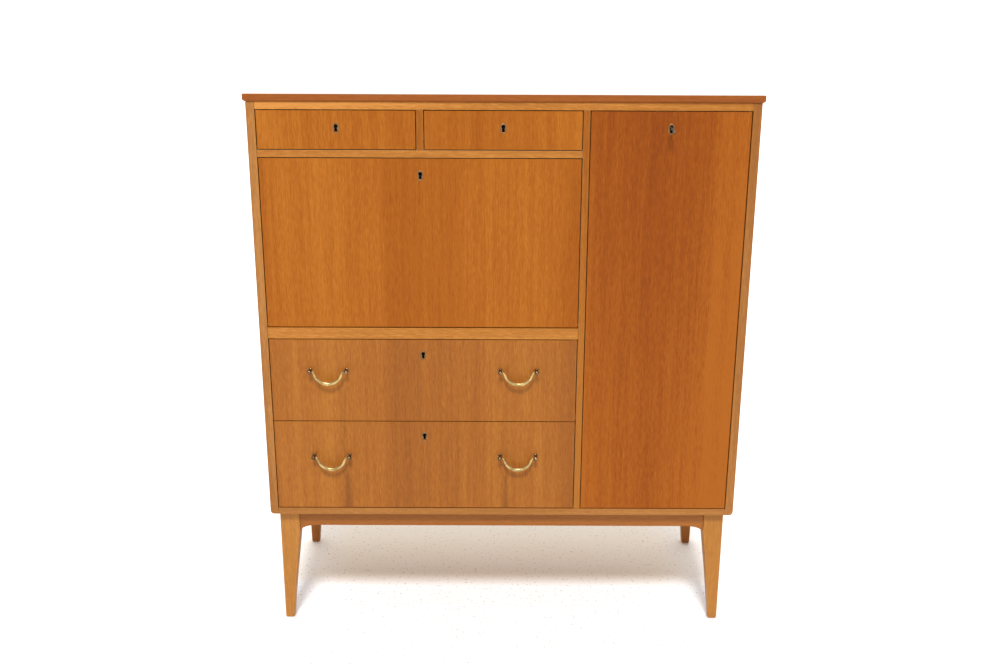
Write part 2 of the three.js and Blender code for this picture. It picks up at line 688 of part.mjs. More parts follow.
// A block that the bar slides through, on a stub that turns on the wall of the bay at -X
function guideGeometry() {
  const [x, y, z] = GUIDE_BLOCK.map((size) => [-size / 2, size / 2]);
  const [barX, barZ] = STAY_BAR.map((size) => [-size / 2, size / 2]);
  const stub = rod('x', GUIDE_STUB_RADIUS, [FIT - STAY_PLANE, x[0] + WELD], 0, 0);
  const slot = block(widened(barX, GUIDE_CLEARANCE), widened(y, OVERCUT), widened(barZ, GUIDE_CLEARANCE));
  return cut(join(block(x, y, z), stub), slot);
}

function stays() {
  const { lug, guide, slope, length } = stayPlaces();
  const planes = { left: BAY_LEFT + STAY_PLANE, right: PARTITION[0] - STAY_PLANE };
  return Object.entries(planes).flatMap(([side, x]) => {
    const stay = part(`stay_${side}`, stayGeometry(length), agedBrass);
    stay.position.set(x, lug.x, lug.y);
    stay.rotation.x = slope;
    const holder = part(`stay_guide_${side}`, guideGeometry(), agedBrass);
    holder.position.set(x, guide.x, guide.y);
    holder.rotation.set(slope, 0, side === 'left' ? 0 : Math.PI);
    return [stay, holder];
  });
}

// ---------------------------------------------------------------- cupboard door

function doorAxis() {
  return [BAY_RIGHT - REVEAL - DOOR_AXIS_INSET, DOOR_AXIS_INSET];
}

function doorPanel() {
  const x = narrowed([PARTITION[1], BAY_RIGHT], REVEAL);
  const z = [BOTTOM_PANEL_TOP + REVEAL, TOP_RAIL_BOTTOM - REVEAL];
  const middle = (PARTITION[1] + BAY_RIGHT) / 2;
  const profile = outline([
    [x[0], 0],
    [x[1] - DOOR_CORNER, 0],
    [x[1], DOOR_CORNER],
    [x[1], FRONT_THICKNESS],
    [x[0], FRONT_THICKNESS],
  ]);
  const geometry = cut(
    prismAlongZ(profile, z),
    ...pivotBores('z', z, doorAxis()),
    ...lockCuts(middle, z[1]),
  );
  const key = part('door_key', keyGeometry(), steel);
  key.position.set(middle, 0, z[1] - KEYHOLE_DROP);
  key.rotation.y = KEY_REST_TURN;
  const group = new THREE.Group();
  group.add(part('door_panel', geometry, doorVeneer), lockBolt('door_bolt', middle, z[1]), key);
  return group;
}

function doorPivots() {
  const top = part('door_pivot_top', pivotGeometry(), steel);
  top.rotation.y = Math.PI / 2;
  top.position.set(...doorAxis(), TOP_RAIL_BOTTOM);
  const bottom = part('door_pivot_bottom', pivotGeometry(), steel);
  bottom.rotation.y = -Math.PI / 2;
  bottom.position.set(...doorAxis(), BOTTOM_PANEL_TOP);
  return [top, bottom];
}

// ---------------------------------------------------------------- the whole desk

const secretaryDesk = new THREE.Group();
secretaryDesk.position.y = (KEY_REACH - CASE_DEPTH) / 2;
secretaryDesk.add(
  topPanel(),
  sidePanel('side_panel_left', -1),
  sidePanel('side_panel_right', 1),
  ...caseBoards(),
  ...cupboardShelves(),
  pigeonholeUnit(),
  leg('leg_front_left', -1, -1),
  leg('leg_front_right', 1, -1),
  leg('leg_rear_right', 1, 1),
  leg('leg_rear_left', -1, 1),
  ...aprons(),
  smallDrawer('left', [BAY_LEFT, DIVIDER[0]]),
  smallDrawer('right', [DIVIDER[1], PARTITION[0]]),
  largeDrawer('upper'),
  largeDrawer('lower'),
  flapPanel(),
  ...flapPivots(),
  ...stays(),
  doorPanel(),
  ...doorPivots(),
);
secretaryDesk.updateMatrixWorld(true);

export default secretaryDesk;
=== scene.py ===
"""Looks of the secretary desk: camera, light and floor, finishes, and the fine pieces around the CAD frame.

Metres, +Z up, in the CAD's frame. The fronts face -Y. Lengths written with MM are millimetres, and so are the
profiles and curves that metres() turns into metres.
"""

import json
import math

import bmesh
import bpy
from mathutils import Matrix, Vector

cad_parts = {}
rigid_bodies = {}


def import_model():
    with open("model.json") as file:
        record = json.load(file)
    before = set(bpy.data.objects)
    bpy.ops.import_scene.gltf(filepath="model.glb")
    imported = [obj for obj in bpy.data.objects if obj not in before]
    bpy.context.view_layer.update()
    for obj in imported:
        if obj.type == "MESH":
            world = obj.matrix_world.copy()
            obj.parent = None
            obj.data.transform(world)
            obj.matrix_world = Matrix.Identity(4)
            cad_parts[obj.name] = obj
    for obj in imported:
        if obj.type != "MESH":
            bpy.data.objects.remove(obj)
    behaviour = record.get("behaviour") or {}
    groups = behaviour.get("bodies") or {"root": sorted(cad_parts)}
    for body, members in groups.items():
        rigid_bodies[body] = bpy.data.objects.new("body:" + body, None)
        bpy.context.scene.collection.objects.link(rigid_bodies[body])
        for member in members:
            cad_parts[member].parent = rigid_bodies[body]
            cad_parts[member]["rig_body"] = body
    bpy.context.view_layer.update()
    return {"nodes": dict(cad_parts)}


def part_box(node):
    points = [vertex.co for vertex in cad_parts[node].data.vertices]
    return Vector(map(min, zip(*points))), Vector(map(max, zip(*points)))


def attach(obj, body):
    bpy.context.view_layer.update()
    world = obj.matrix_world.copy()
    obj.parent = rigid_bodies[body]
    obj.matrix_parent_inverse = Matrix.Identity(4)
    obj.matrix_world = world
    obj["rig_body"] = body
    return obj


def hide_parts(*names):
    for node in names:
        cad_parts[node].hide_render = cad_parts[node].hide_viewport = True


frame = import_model()
NODES = frame["nodes"]

MM = 0.001

# ---------------------------------------------------------------- places taken from the frame

FRONT_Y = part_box("side_panel_left")[0].y
FRONT_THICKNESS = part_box("lower_drawer_front")[1].y - FRONT_Y
BAY_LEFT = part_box("side_panel_left")[1].x
BAY_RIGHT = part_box("side_panel_right")[0].x
PARTITION_LEFT, PARTITION_RIGHT = (corner.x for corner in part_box("partition"))

# ---------------------------------------------------------------- camera, light and floor

CAMERA_PLACE = (-0.0142, -2.2287, 1.3866)  # from the middle of the case's front at floor level
CAMERA_TURN = (0.097, 16.728, 0.234)  # degrees to the right, down, and of roll
CAMERA_LENS = 38.627
SENSOR_WIDTH = 36.0

ROOM_LIGHT = 0.30  # strength of the white room all round
WALL_LIGHT = 0.75  # added near the horizon, so that the room stays white from every side
WALL_FADE = (0.12, 0.30)  # upward part of a direction over which it fades out
CEILING_LIGHT = 0.53  # added overhead
CEILING_FADE = (0.2, 0.9)  # upward part of a direction over which it comes in
BACKDROP_LIGHT = 1.10  # added behind the desk
BACKDROP_FADE = (0.0, 0.6)  # backward part of a direction over which it comes in
KEY_DIRECTION = (-0.02, -0.60, 0.82)  # towards the large soft lamp
KEY_STRENGTH = 2.65
KEY_SPREAD = math.radians(11)

FLOOR_REACH = 30.0
FLOOR_PAINT = ((0.90, 0.895, 0.89), (0.95, 0.95, 0.945))
FLOOR_SCUFF = (0.62, 0.58, 0.54)
FLOOR_SPECK = (0.45, 0.40, 0.36)
FLOOR_PAINTED_BOUNCE = (0.94, 0.85, 0.70)  # painted reflection and shade: the wood's warm bounce light, multiplied into the floor's colour under the desk
SCUFF_STEPS = ((0.66, 0.0), (0.76, 1.0))
SCUFF_STRENGTH = 0.45
SPECK_STEPS = ((0.63, 0.0), (0.67, 1.0))
SPECK_STRENGTH = 0.60
FLOOR_ROUGHNESS = (0.55, 0.75)
PAINTED_BOUNCE_SIDE = (0.40, 0.62)  # where the painted warm reflection and shade fades out to the sides, to the front and to the back
PAINTED_BOUNCE_FRONT = (-0.04, 0.02)
PAINTED_BOUNCE_BACK = (0.20, 0.55)

# ---------------------------------------------------------------- finishes

# Deep, middle and pale tone of each wood, in linear light
TONES = {
    "front_veneer": ((0.262, 0.064, 0.0024), (0.320, 0.091, 0.0052), (0.396, 0.130, 0.0120)),
    "drawer_veneer": ((0.228, 0.066, 0.0050), (0.298, 0.091, 0.0070), (0.378, 0.138, 0.0150)),
    "door_veneer": ((0.178, 0.034, 0.0010), (0.248, 0.056, 0.0020), (0.328, 0.091, 0.0065)),
    "case_veneer": ((0.200, 0.044, 0.0030), (0.252, 0.064, 0.0052), (0.310, 0.092, 0.0100)),
    "edge_wood": ((0.285, 0.090, 0.0080), (0.368, 0.133, 0.0155), (0.540, 0.218, 0.0400)),
    "side_edge": ((0.250, 0.085, 0.0120), (0.310, 0.120, 0.0220), (0.400, 0.172, 0.0400)),
    "upright_edge": ((0.220, 0.055, 0.0020), (0.285, 0.084, 0.0065), (0.345, 0.122, 0.0170)),
    # Painted shade: a darker copy of the leg wood, for the rear legs and the aprons that stand in the case's
    # shadow
    "painted_shade_wood": ((0.230, 0.068, 0.0070), (0.295, 0.096, 0.0130), (0.380, 0.135, 0.0240)),
    "leg_wood": ((0.300, 0.108, 0.0140), (0.380, 0.153, 0.0250), (0.480, 0.208, 0.0420)),
    "inner_wood": ((0.400, 0.240, 0.1050), (0.500, 0.320, 0.1550), (0.590, 0.400, 0.2150)),
    "back_board": ((0.280, 0.150, 0.0620), (0.355, 0.200, 0.0860), (0.430, 0.255, 0.1200)),
}
# Layers of the wood's figure: how far each is drawn out along the grain, its scale, detail and distortion
GRAIN_LAYERS = {
    "figure": (0.07, 13.0, 2.0, 0.5),
    "stripe": (0.010, 42.0, 2.0, 0.0),
    "ribbon": (0.030, 135.0, 4.0, 0.0),
    "fleck": (0.14, 460.0, 3.0, 0.0),
    "pores": (0.025, 1300.0, 1.0, 0.0),
}
FIGURE_STRENGTH = 0.9
FINE_STRENGTHS = {"stripe": 0.65, "ribbon": 0.80, "fleck": 1.25}
PLAIN_CONTRAST = 0.75  # of the solid woods' figure against the veneers'
USUAL_NOISE = (0.3, 0.7)  # the range that a noise mostly keeps to

# How far across the panel each soft band of the figure lies, and its tone: 0 is deep and 1 is pale
COLUMN_BANDS = (
    (0.00, 0.40), (0.07, 0.72), (0.16, 0.82), (0.30, 0.64), (0.35, 0.55), (0.42, 0.30), (0.47, 0.20),
    (0.54, 0.38), (0.60, 0.32), (0.68, 0.58), (0.88, 0.56), (1.00, 0.15),
)
DOOR_BANDS = (
    (0.00, 0.66), (0.10, 0.46), (0.30, 0.30), (0.48, 0.28), (0.66, 0.46), (0.82, 0.80), (0.95, 0.92),
)
BAND_WANDER = 0.05
BAND_STRENGTH = 0.8
BAND_OFFSET = 0.08
BANDED_FIGURE = 0.35  # share of the figure's tone that is kept on a banded panel

# Tone added along the grain: painted light towards the rail's left end, where the light falls from the left,
# paler to the foot of the door and uprights, and painted light and shade at the sides' top, the left paler
# and the right darker
RAIL_PAINTED_LIGHT = 0.5
DOOR_DRIFT = 0.35
UPRIGHT_DRIFT = 0.5
SIDE_PAINTED_LIGHT = {"left": 0.30, "right": -0.35}

# Dark streaks that run down from the handles: front, middle, half width, fade at the top and strength
STREAKS = (
    ("lower_drawer_front", -345 * MM, 24 * MM, 30 * MM, 0.62),
    ("upper_drawer_front", -348 * MM, 22 * MM, 40 * MM, 0.18),
    ("lower_drawer_front", 13 * MM, 17 * MM, 30 * MM, 0.56),
    ("upper_drawer_front", 13 * MM, 18 * MM, 40 * MM, 0.14),
)
STREAK_LENGTH = 0.11
STREAK_TAPER = 2.6  # how many times narrower a streak is at its top
STREAK_SOFTNESS = 1.5
STREAK_WANDER = 0.010
STREAK_GRAIN = (0.55, 1.0)
STREAK_SHADE = 0.42  # of the wood's deep tone

PORE_STEPS = ((0.56, 0.0), (0.70, 1.0))
PORE_SHADE = (0.42, 0.34, 0.28)
PORE_STRENGTH = 0.3
PORE_DEPTH = 0.7
RIBBON_RELIEF = 0.5
WEAR_SCALE = 60.0
WEAR_PATCHES = (0.35, 0.65)
WEAR_STRENGTH = (0.10, 0.55)
WOOD_ROUGHNESS = (0.36, 0.48)
WOOD_GLOSS = 0.22
VENEER_GLOSS = 0.12
COAT_ROUGHNESS = 0.06
COAT_TINT = (1.0, 0.97, 0.82, 1.0)

# Bright and dull colour, roughness, where the patina turns from bright to dull, and its scale
METALS = {
    "aged_brass": ((0.62, 0.46, 0.20), (0.34, 0.235, 0.09), (0.26, 0.40), (0.40, 0.62), 70.0),
    "dark_brass": ((0.40, 0.27, 0.13), (0.12, 0.07, 0.035), (0.22, 0.42), (0.34, 0.54), 160.0),
    "plate_brass": ((0.30, 0.17, 0.075), (0.22, 0.12, 0.05), (0.50, 0.65), (0.40, 0.62), 160.0),
    "lock_steel": ((0.17, 0.15, 0.135), (0.05, 0.04, 0.036), (0.16, 0.32), (0.40, 0.62), 160.0),
    # Near black: the lock pot is a real iron part, made this dark to stand in as well for the painted shade
    # inside the keyhole
    "keyhole_shade_iron": ((0.030, 0.026, 0.024), (0.008, 0.007, 0.006), (0.55, 0.75), (0.40, 0.62), 160.0),
}
PATINA_SPECK = 0.2
PATINA_FINENESS = 9

EDGE_EASE = 0.7 * MM
LEG_EASE = 2.0 * MM
SHARP_ANGLE = math.radians(40)
EASED_ANGLE = math.radians(30)
FLAT_ANGLE = math.radians(1)
WELD = 0.001 * MM
SEED_SHIFT = (0.37, 0.53, 1.7)  # how far each seed moves a board through the figure

CORNERS = ((-1, -1), (1, -1), (1, 1), (-1, 1))


def node(tree, kind, inputs=None, **settings):
    """A new node with its settings, and its inputs linked or set."""
    made = tree.nodes.new(kind)
    for key, value in settings.items():
        setattr(made, key, value)
    for key, value in (inputs or {}).items():
        if isinstance(value, bpy.types.NodeSocket):
            tree.links.new(value, made.inputs[key])
        else:
            made.inputs[key].default_value = value
    return made


def blank_material(name):
    """A material with only a Principled shader and its output."""
    material = bpy.data.materials.new(name)
    material.use_nodes = True
    tree = material.node_tree
    tree.nodes.clear()
    shader = node(tree, "ShaderNodeBsdfPrincipled")
    node(tree, "ShaderNodeOutputMaterial", {"Surface": shader.outputs["BSDF"]})
    return material, tree, shader


def noise(tree, vector, scale, detail=3.0, roughness=0.55, distortion=0.0):
    inputs = {
        "Vector": vector, "Scale": scale, "Detail": detail, "Roughness": roughness, "Distortion": distortion,
    }
    return node(tree, "ShaderNodeTexNoise", inputs).outputs["Fac"]


def math_node(tree, operation, first, second, third=None):
    inputs = {0: first, 1: second}
    if third is not None:
        inputs[2] = third
    return node(tree, "ShaderNodeMath", inputs, operation=operation).outputs["Value"]


def ramp(tree, factor, stops):
    """A colour ramp through (position, grey or colour) stops."""
    made = node(tree, "ShaderNodeValToRGB", {"Fac": factor})
    elements = made.color_ramp.elements
    while len(elements) < len(stops):
        elements.new(1.0)
    for element, (position, value) in zip(elements, stops):
        element.position = position
        element.color = (value, value, value, 1.0) if isinstance(value, float) else (*value, 1.0)
    return made.outputs["Color"]


def ranged(tree, value, source, target):
    """value moved from one range to another, held at its ends."""
    inputs = {
        "Value": value,
        "From Min": source[0],
        "From Max": source[1],
        "To Min": target[0],
        "To Max": target[1],
    }
    return node(tree, "ShaderNodeMapRange", inputs, clamp=True).outputs["Result"]


def mixed(tree, factor, first, second, blend="MIX"):
    """Two colours mixed; a plain colour may stand for either."""
    made = node(tree, "ShaderNodeMix", data_type="RGBA", blend_type=blend)
    for socket, value in ((made.inputs[0], factor), (made.inputs[6], first), (made.inputs[7], second)):
        if isinstance(value, bpy.types.NodeSocket):
            tree.links.new(value, socket)
        else:
            socket.default_value = value if isinstance(value, float) else (*value, 1.0)
    return made.outputs[2]


def grain_layers(tree, grain):
    """The layers of the wood's figure by name, each a noise drawn out along the grain."""
    layers = {}
    for name, (share, scale, detail, distortion) in GRAIN_LAYERS.items():
        inputs = {"Vector": grain, "Scale": (1.0, 1.0, share)}
        drawn_out = node(tree, "ShaderNodeMapping", inputs).outputs["Vector"]
        layers[name] = noise(tree, drawn_out, scale, detail=detail, distortion=distortion)
    layers["pores"] = ramp(tree, layers["pores"], PORE_STEPS)
    return layers


def wood_tone(tree, layers, places, contrast, span, bands, drift):
    """How pale the wood is: 0 is its deep tone and 1 its pale one."""
    swing = FIGURE_STRENGTH * contrast
    tone = math_node(tree, "MULTIPLY_ADD", layers["figure"], swing, 0.5 - swing / 2)
    if bands:
        wander = math_node(tree, "MULTIPLY_ADD", layers["figure"], BAND_WANDER, places["X"])
        sides = [side + BAND_WANDER / 2 for side in span]
        banded = ramp(tree, ranged(tree, wander, sides, (0.0, 1.0)), bands)
        banded = math_node(tree, "MULTIPLY", banded, BAND_STRENGTH)
        tone = math_node(tree, "MULTIPLY_ADD", tone, BANDED_FIGURE, banded)
        tone = math_node(tree, "SUBTRACT", tone, BAND_OFFSET)
    if drift:
        start, end, added = drift
        tone = math_node(tree, "ADD", tone, ranged(tree, places["Z"], (start, end), (0.0, added)))
    for name, strength in FINE_STRENGTHS.items():
        centred = math_node(tree, "SUBTRACT", layers[name], 0.5)
        tone = math_node(tree, "MULTIPLY_ADD", centred, strength * contrast, tone)
    return tone


def streaked(tree, colour, layers, places, streak, stain):
    """The colour with one dark streak that runs down from the middle of a front, widening as it goes."""
    front, middle, width, fade, strength = streak
    low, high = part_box(front)
    top = (low.z + high.z) / 2
    wander = math_node(tree, "MULTIPLY_ADD", layers["ribbon"], STREAK_WANDER, places["X"])
    offset = math_node(tree, "ABSOLUTE", math_node(tree, "SUBTRACT", wander, middle), 0.0)
    taper = ranged(tree, places["Z"], (top - STREAK_LENGTH, top), (1.0, STREAK_TAPER))
    offset = math_node(tree, "MULTIPLY", offset, taper)
    core = math_node(tree, "POWER", ranged(tree, offset, (0.0, width), (1.0, 0.0)), STREAK_SOFTNESS)
    depth = ranged(tree, places["Z"], (top - fade, top), (1.0, 0.0))
    grained = ranged(tree, layers["ribbon"], USUAL_NOISE, STREAK_GRAIN)
    grained = math_node(tree, "MULTIPLY", grained, strength)
    amount = math_node(tree, "MULTIPLY", math_node(tree, "MULTIPLY", core, depth), grained)
    return mixed(tree, amount, colour, stain)


def worn(tree, colour, layers, grain, pale):
    """The colour with dark pores, and rubbed pale in patches where the mesh's "wear" attribute is 1."""
    dark = mixed(tree, 1.0, colour, PORE_SHADE, blend="MULTIPLY")
    colour = mixed(tree, math_node(tree, "MULTIPLY", layers["pores"], PORE_STRENGTH), colour, dark)
    wear = node(tree, "ShaderNodeAttribute", attribute_name="wear").outputs["Fac"]
    patches = ranged(tree, noise(tree, grain, WEAR_SCALE), WEAR_PATCHES, WEAR_STRENGTH)
    return mixed(tree, math_node(tree, "MULTIPLY", wear, patches), colour, pale)


def wood(
    name, tones, span=None, bands=None, drift=None, streaks=(), contrast=1.0, gloss=WOOD_GLOSS, polish=0.0,
):
    """Veneer or solid wood. The mesh's "grain" attribute holds places with their third axis along the grain.

    bands are tones across the span, and drift is (start, end, tone added at the end) along the grain; on the
    rail and the sides' edges the drift is painted light and shade.
    """
    material, tree, shader = blank_material(name)
    grain = node(tree, "ShaderNodeAttribute", attribute_name="grain").outputs["Vector"]
    places = node(tree, "ShaderNodeSeparateXYZ", {"Vector": grain}).outputs
    layers = grain_layers(tree, grain)
    deep, middle, pale = tones
    tone = wood_tone(tree, layers, places, contrast, span, bands, drift)
    colour = ramp(tree, tone, ((0.0, deep), (0.5, middle), (1.0, pale)))
    stain = tuple(STREAK_SHADE * part for part in deep)
    for streak in streaks:
        colour = streaked(tree, colour, layers, places, streak, stain)
    colour = worn(tree, colour, layers, grain, pale)

    relief = math_node(tree, "MULTIPLY", layers["ribbon"], RIBBON_RELIEF)
    height = math_node(tree, "MULTIPLY_ADD", layers["pores"], -PORE_DEPTH, relief)
    bump = node(tree, "ShaderNodeBump", {"Height": height, "Strength": 0.25, "Distance": 0.15 * MM})
    tree.links.new(colour, shader.inputs["Base Color"])
    tree.links.new(ranged(tree, layers["ribbon"], USUAL_NOISE, WOOD_ROUGHNESS), shader.inputs["Roughness"])
    tree.links.new(bump.outputs["Normal"], shader.inputs["Normal"])
    shader.inputs["Specular IOR Level"].default_value = gloss
    shader.inputs["Coat Weight"].default_value = polish
    shader.inputs["Coat Roughness"].default_value = COAT_ROUGHNESS
    shader.inputs["Coat Tint"].default_value = COAT_TINT
    return material


def metal(name, bright, dull, roughness, tarnish, scale):
    """Metal with a soft cloudy patina and fine specks."""
    material, tree, shader = blank_material(name)
    place = node(tree, "ShaderNodeTexCoord").outputs["Object"]
    cloud = noise(tree, place, scale, detail=5.0)
    speck = noise(tree, place, scale * PATINA_FINENESS, detail=2.0)
    patina = math_node(tree, "MULTIPLY_ADD", speck, PATINA_SPECK, cloud)
    turn = [edge + PATINA_SPECK / 2 for edge in tarnish]
    amount = ranged(tree, patina, turn, (0.0, 1.0))
    tree.links.new(mixed(tree, amount, bright, dull), shader.inputs["Base Color"])
    tree.links.new(ranged(tree, cloud, USUAL_NOISE, roughness), shader.inputs["Roughness"])
    bump = node(tree, "ShaderNodeBump", {"Height": speck, "Strength": 0.12, "Distance": 0.05 * MM})
    tree.links.new(bump.outputs["Normal"], shader.inputs["Normal"])
    shader.inputs["Metallic"].default_value = 1.0
    return material


def floor_material():
    """Pale painted floor with faint scuffs and specks, and a painted warm reflection of the wood that tints
    and darkens it under the desk.
    """
    material, tree, shader = blank_material("pale_floor")
    place = node(tree, "ShaderNodeTexCoord").outputs["Object"]
    axes = node(tree, "ShaderNodeSeparateXYZ", {"Vector": place}).outputs
    # Mask of the painted reflection and shade: under the desk, from about where the case's shadow begins
    # towards the back
    sideways = ranged(tree, math_node(tree, "ABSOLUTE", axes["X"], 0.0), PAINTED_BOUNCE_SIDE, (1.0, 0.0))
    forward = ranged(tree, axes["Y"], PAINTED_BOUNCE_FRONT, (0.0, 1.0))
    backward = ranged(tree, axes["Y"], PAINTED_BOUNCE_BACK, (1.0, 0.0))
    under = math_node(tree, "MULTIPLY", math_node(tree, "MULTIPLY", sideways, forward), backward)
    cloud = noise(tree, place, scale=1.3, detail=4.0)
    scuffs = ramp(tree, noise(tree, place, scale=26.0, detail=6.0, distortion=1.4), SCUFF_STEPS)
    colour = mixed(tree, cloud, *FLOOR_PAINT)
    colour = mixed(tree, math_node(tree, "MULTIPLY", scuffs, SCUFF_STRENGTH), colour, FLOOR_SCUFF)
    specks = ramp(tree, noise(tree, place, scale=130.0, detail=2.0), SPECK_STEPS)
    colour = mixed(tree, math_node(tree, "MULTIPLY", specks, SPECK_STRENGTH), colour, FLOOR_SPECK)
    # Painted reflection and shade: the wood's warm bounce multiplied into the floor's colour where the mask
    # is 1
    warm = mixed(tree, 1.0, colour, FLOOR_PAINTED_BOUNCE, blend="MULTIPLY")
    tree.links.new(mixed(tree, under, colour, warm), shader.inputs["Base Color"])
    tree.links.new(ranged(tree, cloud, USUAL_NOISE, FLOOR_ROUGHNESS), shader.inputs["Roughness"])
    return material


# ---------------------------------------------------------------- mesh helpers

POINT_RADIUS = 0.02 * MM  # a turned piece ends in this radius rather than in a point
LOCK_PLATE_THICKNESS = 0.4 * MM
LOCK_PLATE_EASE = 0.2 * MM

# Shares of a screw's radius and height
SCREW_DISC = 0.35
SCREW_SLOT = 0.16
SCREW_DOME = ((1.0, 0.3), (0.97, 0.7), (0.80, 1.0))
SCREW_STEPS = 8


def metres(profile):
    """The pairs of a profile or curve, from millimetres."""
    return [(first * MM, second * MM) for first, second in profile]


def around(sides):
    """Angles of a full turn in equal steps."""
    return [2 * math.pi * i / sides for i in range(sides)]


def finish_mesh(name, work, materials, body):
    """An object from a bmesh: faces outward, soft shading with sharp corners, riding on its body."""
    bmesh.ops.recalc_face_normals(work, faces=work.faces)
    for face in work.faces:
        face.smooth = True
    for edge in work.edges:
        edge.smooth = edge.is_manifold and edge.calc_face_angle() < SHARP_ANGLE
    mesh = bpy.data.meshes.new(name)
    work.to_mesh(mesh)
    work.free()
    piece = bpy.data.objects.new(name, mesh)
    bpy.context.scene.collection.objects.link(piece)
    for material in materials:
        mesh.materials.append(material)
    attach(piece, body)
    return piece


def loft(work, rings, loop=False):
    """Faces between rings of points. loop joins the last ring to the first, else flat caps close the ends."""
    rows = [[work.verts.new(point) for point in ring] for ring in rings]
    count = len(rows[0])
    pairs = list(zip(rows, rows[1:])) + ([(rows[-1], rows[0])] if loop else [])
    for first, second in pairs:
        for i in range(count):
            j = (i + 1) % count
            work.faces.new((first[i], first[j], second[j], second[i]))
    if not loop:
        work.faces.new(rows[0])
        work.faces.new(rows[-1])


def lathe(work, profile, place, axis, sides=32):
    """A turned solid: (radius, reach) along axis from place. Both ends of the profile are closed."""
    forward = Vector(axis).normalized()
    side = forward.orthogonal().normalized()
    other = forward.cross(side)
    rings = []
    for radius, reach in profile:
        radius = max(radius, POINT_RADIUS)
        middle = Vector(place) + forward * reach
        rings.append([
            middle + side * radius * math.cos(a) + other * radius * math.sin(a)
            for a in around(sides)
        ])
    loft(work, rings)


def slotted_screw(work, place, axis, radius, height, turn):
    """A low domed screw head with a slot: a thin disc with two half-round lands on it."""
    forward = Vector(axis).normalized()
    side = forward.orthogonal().normalized()
    other = forward.cross(side)
    side, other = (
        side * math.cos(turn) + other * math.sin(turn),
        other * math.cos(turn) - side * math.sin(turn),
    )
    disc = ((radius, 0.0), (radius, SCREW_DISC * height), (0.0, SCREW_DISC * height))
    lathe(work, disc, place, axis, sides=20)
    slot = SCREW_SLOT * radius
    reach = math.acos(slot / radius)
    angles = [reach * (2 * i / SCREW_STEPS - 1) for i in range(SCREW_STEPS + 1)]
    for sign in (-1, 1):
        rings = []
        for share, level in SCREW_DOME:
            rings.append([
                Vector(place)
                + forward * height * level
                + side * sign * max(radius * share * math.cos(a), slot)
                + other * radius * share * math.sin(a)
                for a in angles
            ])
        loft(work, rings)


def frame_plate(work, place, outer, inner, up, shift):
    """A flat rectangular plate that faces up (1) or down (-1), with a hole shifted along Y."""
    across, along, lift = Vector((1, 0, 0)), Vector((0, 1, 0)), Vector((0, 0, up))

    def ring(size, level, move=0.0):
        return [
            Vector(place) + across * size[0] / 2 * u + along * (size[1] / 2 * v + move) + lift * level
            for u, v in CORNERS
        ]

    trimmed = (outer[0] - 2 * LOCK_PLATE_EASE, outer[1] - 2 * LOCK_PLATE_EASE)
    rings = [
        ring(inner, 0.0, shift),
        ring(inner, LOCK_PLATE_THICKNESS, shift),
        ring(trimmed, LOCK_PLATE_THICKNESS),
        ring(outer, LOCK_PLATE_THICKNESS - LOCK_PLATE_EASE),
        ring(outer, 0.0),
    ]
    loft(work, rings, loop=True)


# ---------------------------------------------------------------- refined copies of the CAD's boards


def grain_place(point, axis, seed):
    """The point with its third coordinate along the grain, moved by the board's seed."""
    x, y, z = point
    turned = {"X": (z, y, x), "Y": (x, z, y), "Z": (x, y, z)}[axis]
    return tuple(value + shift * seed for value, shift in zip(turned, SEED_SHIFT))


def on_outer_box(edge, low, high):
    """True if the edge lies along an edge of the box."""
    near = 0.05 * MM
    shared = 0
    for axis in range(3):
        for side in (low, high):
            if all(abs(vertex.co[axis] - side[axis]) < near for vertex in edge.verts):
                shared += 1
    return shared >= 2


def refined(
    name, materials, grain="Z", seed=0, ease=EDGE_EASE, outer_only=False, choose=None, suffix="board",
):
    """A copy of a CAD node with eased edges, that stands for it.

    choose gives the material's index and the grain's axis for a face. outer_only leaves the edges of recesses
    sharp.
    """
    source = NODES[name]
    low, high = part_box(name)
    work = bmesh.new()
    work.from_mesh(source.data)
    bmesh.ops.remove_doubles(work, verts=work.verts, dist=WELD)
    bmesh.ops.dissolve_limit(work, angle_limit=FLAT_ANGLE, verts=work.verts, edges=work.edges)
    edges = [
        edge for edge in work.edges
        if edge.is_manifold
        and edge.calc_face_angle_signed() > EASED_ANGLE
        and (not outer_only or on_outer_box(edge, low, high))
    ]
    wear = work.faces.layers.float.new("wear")
    eased = bmesh.ops.bevel(
        work, geom=edges, offset=ease, segments=2, profile=0.5, affect="EDGES", clamp_overlap=True,
    )
    for face in eased["faces"]:
        face[wear] = 1.0
    places = work.loops.layers.float_vector.new("grain")
    for face in work.faces:
        index, axis = choose(face) if choose else (0, grain)
        face.material_index = index
        for corner in face.loops:
            corner[places] = grain_place(corner.vert.co, axis, seed)
    piece = finish_mesh(f"{name}_{suffix}", work, materials, source["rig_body"])
    piece.modifiers.new("even_faces", "WEIGHTED_NORMAL").keep_sharp = True
    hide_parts(name)
    return piece


# ---------------------------------------------------------------- case, stand and fronts

DRAWERS = ("small_drawer_left", "small_drawer_right", "upper_drawer", "lower_drawer")

# Front, slot, wood and seed
FRONTS = (
    ("small_drawer_left_front", "front_veneer", "small_veneer", 41),
    ("small_drawer_right_front", "front_veneer", "small_veneer", 44),
    ("flap_panel", "front_veneer", "column_veneer", 0),
    ("upper_drawer_front", "front_veneer", "streaked_veneer", 0),
    ("lower_drawer_front", "front_veneer", "streaked_veneer", 0),
    ("door_panel", "door_veneer", "door_veneer", 0),
)


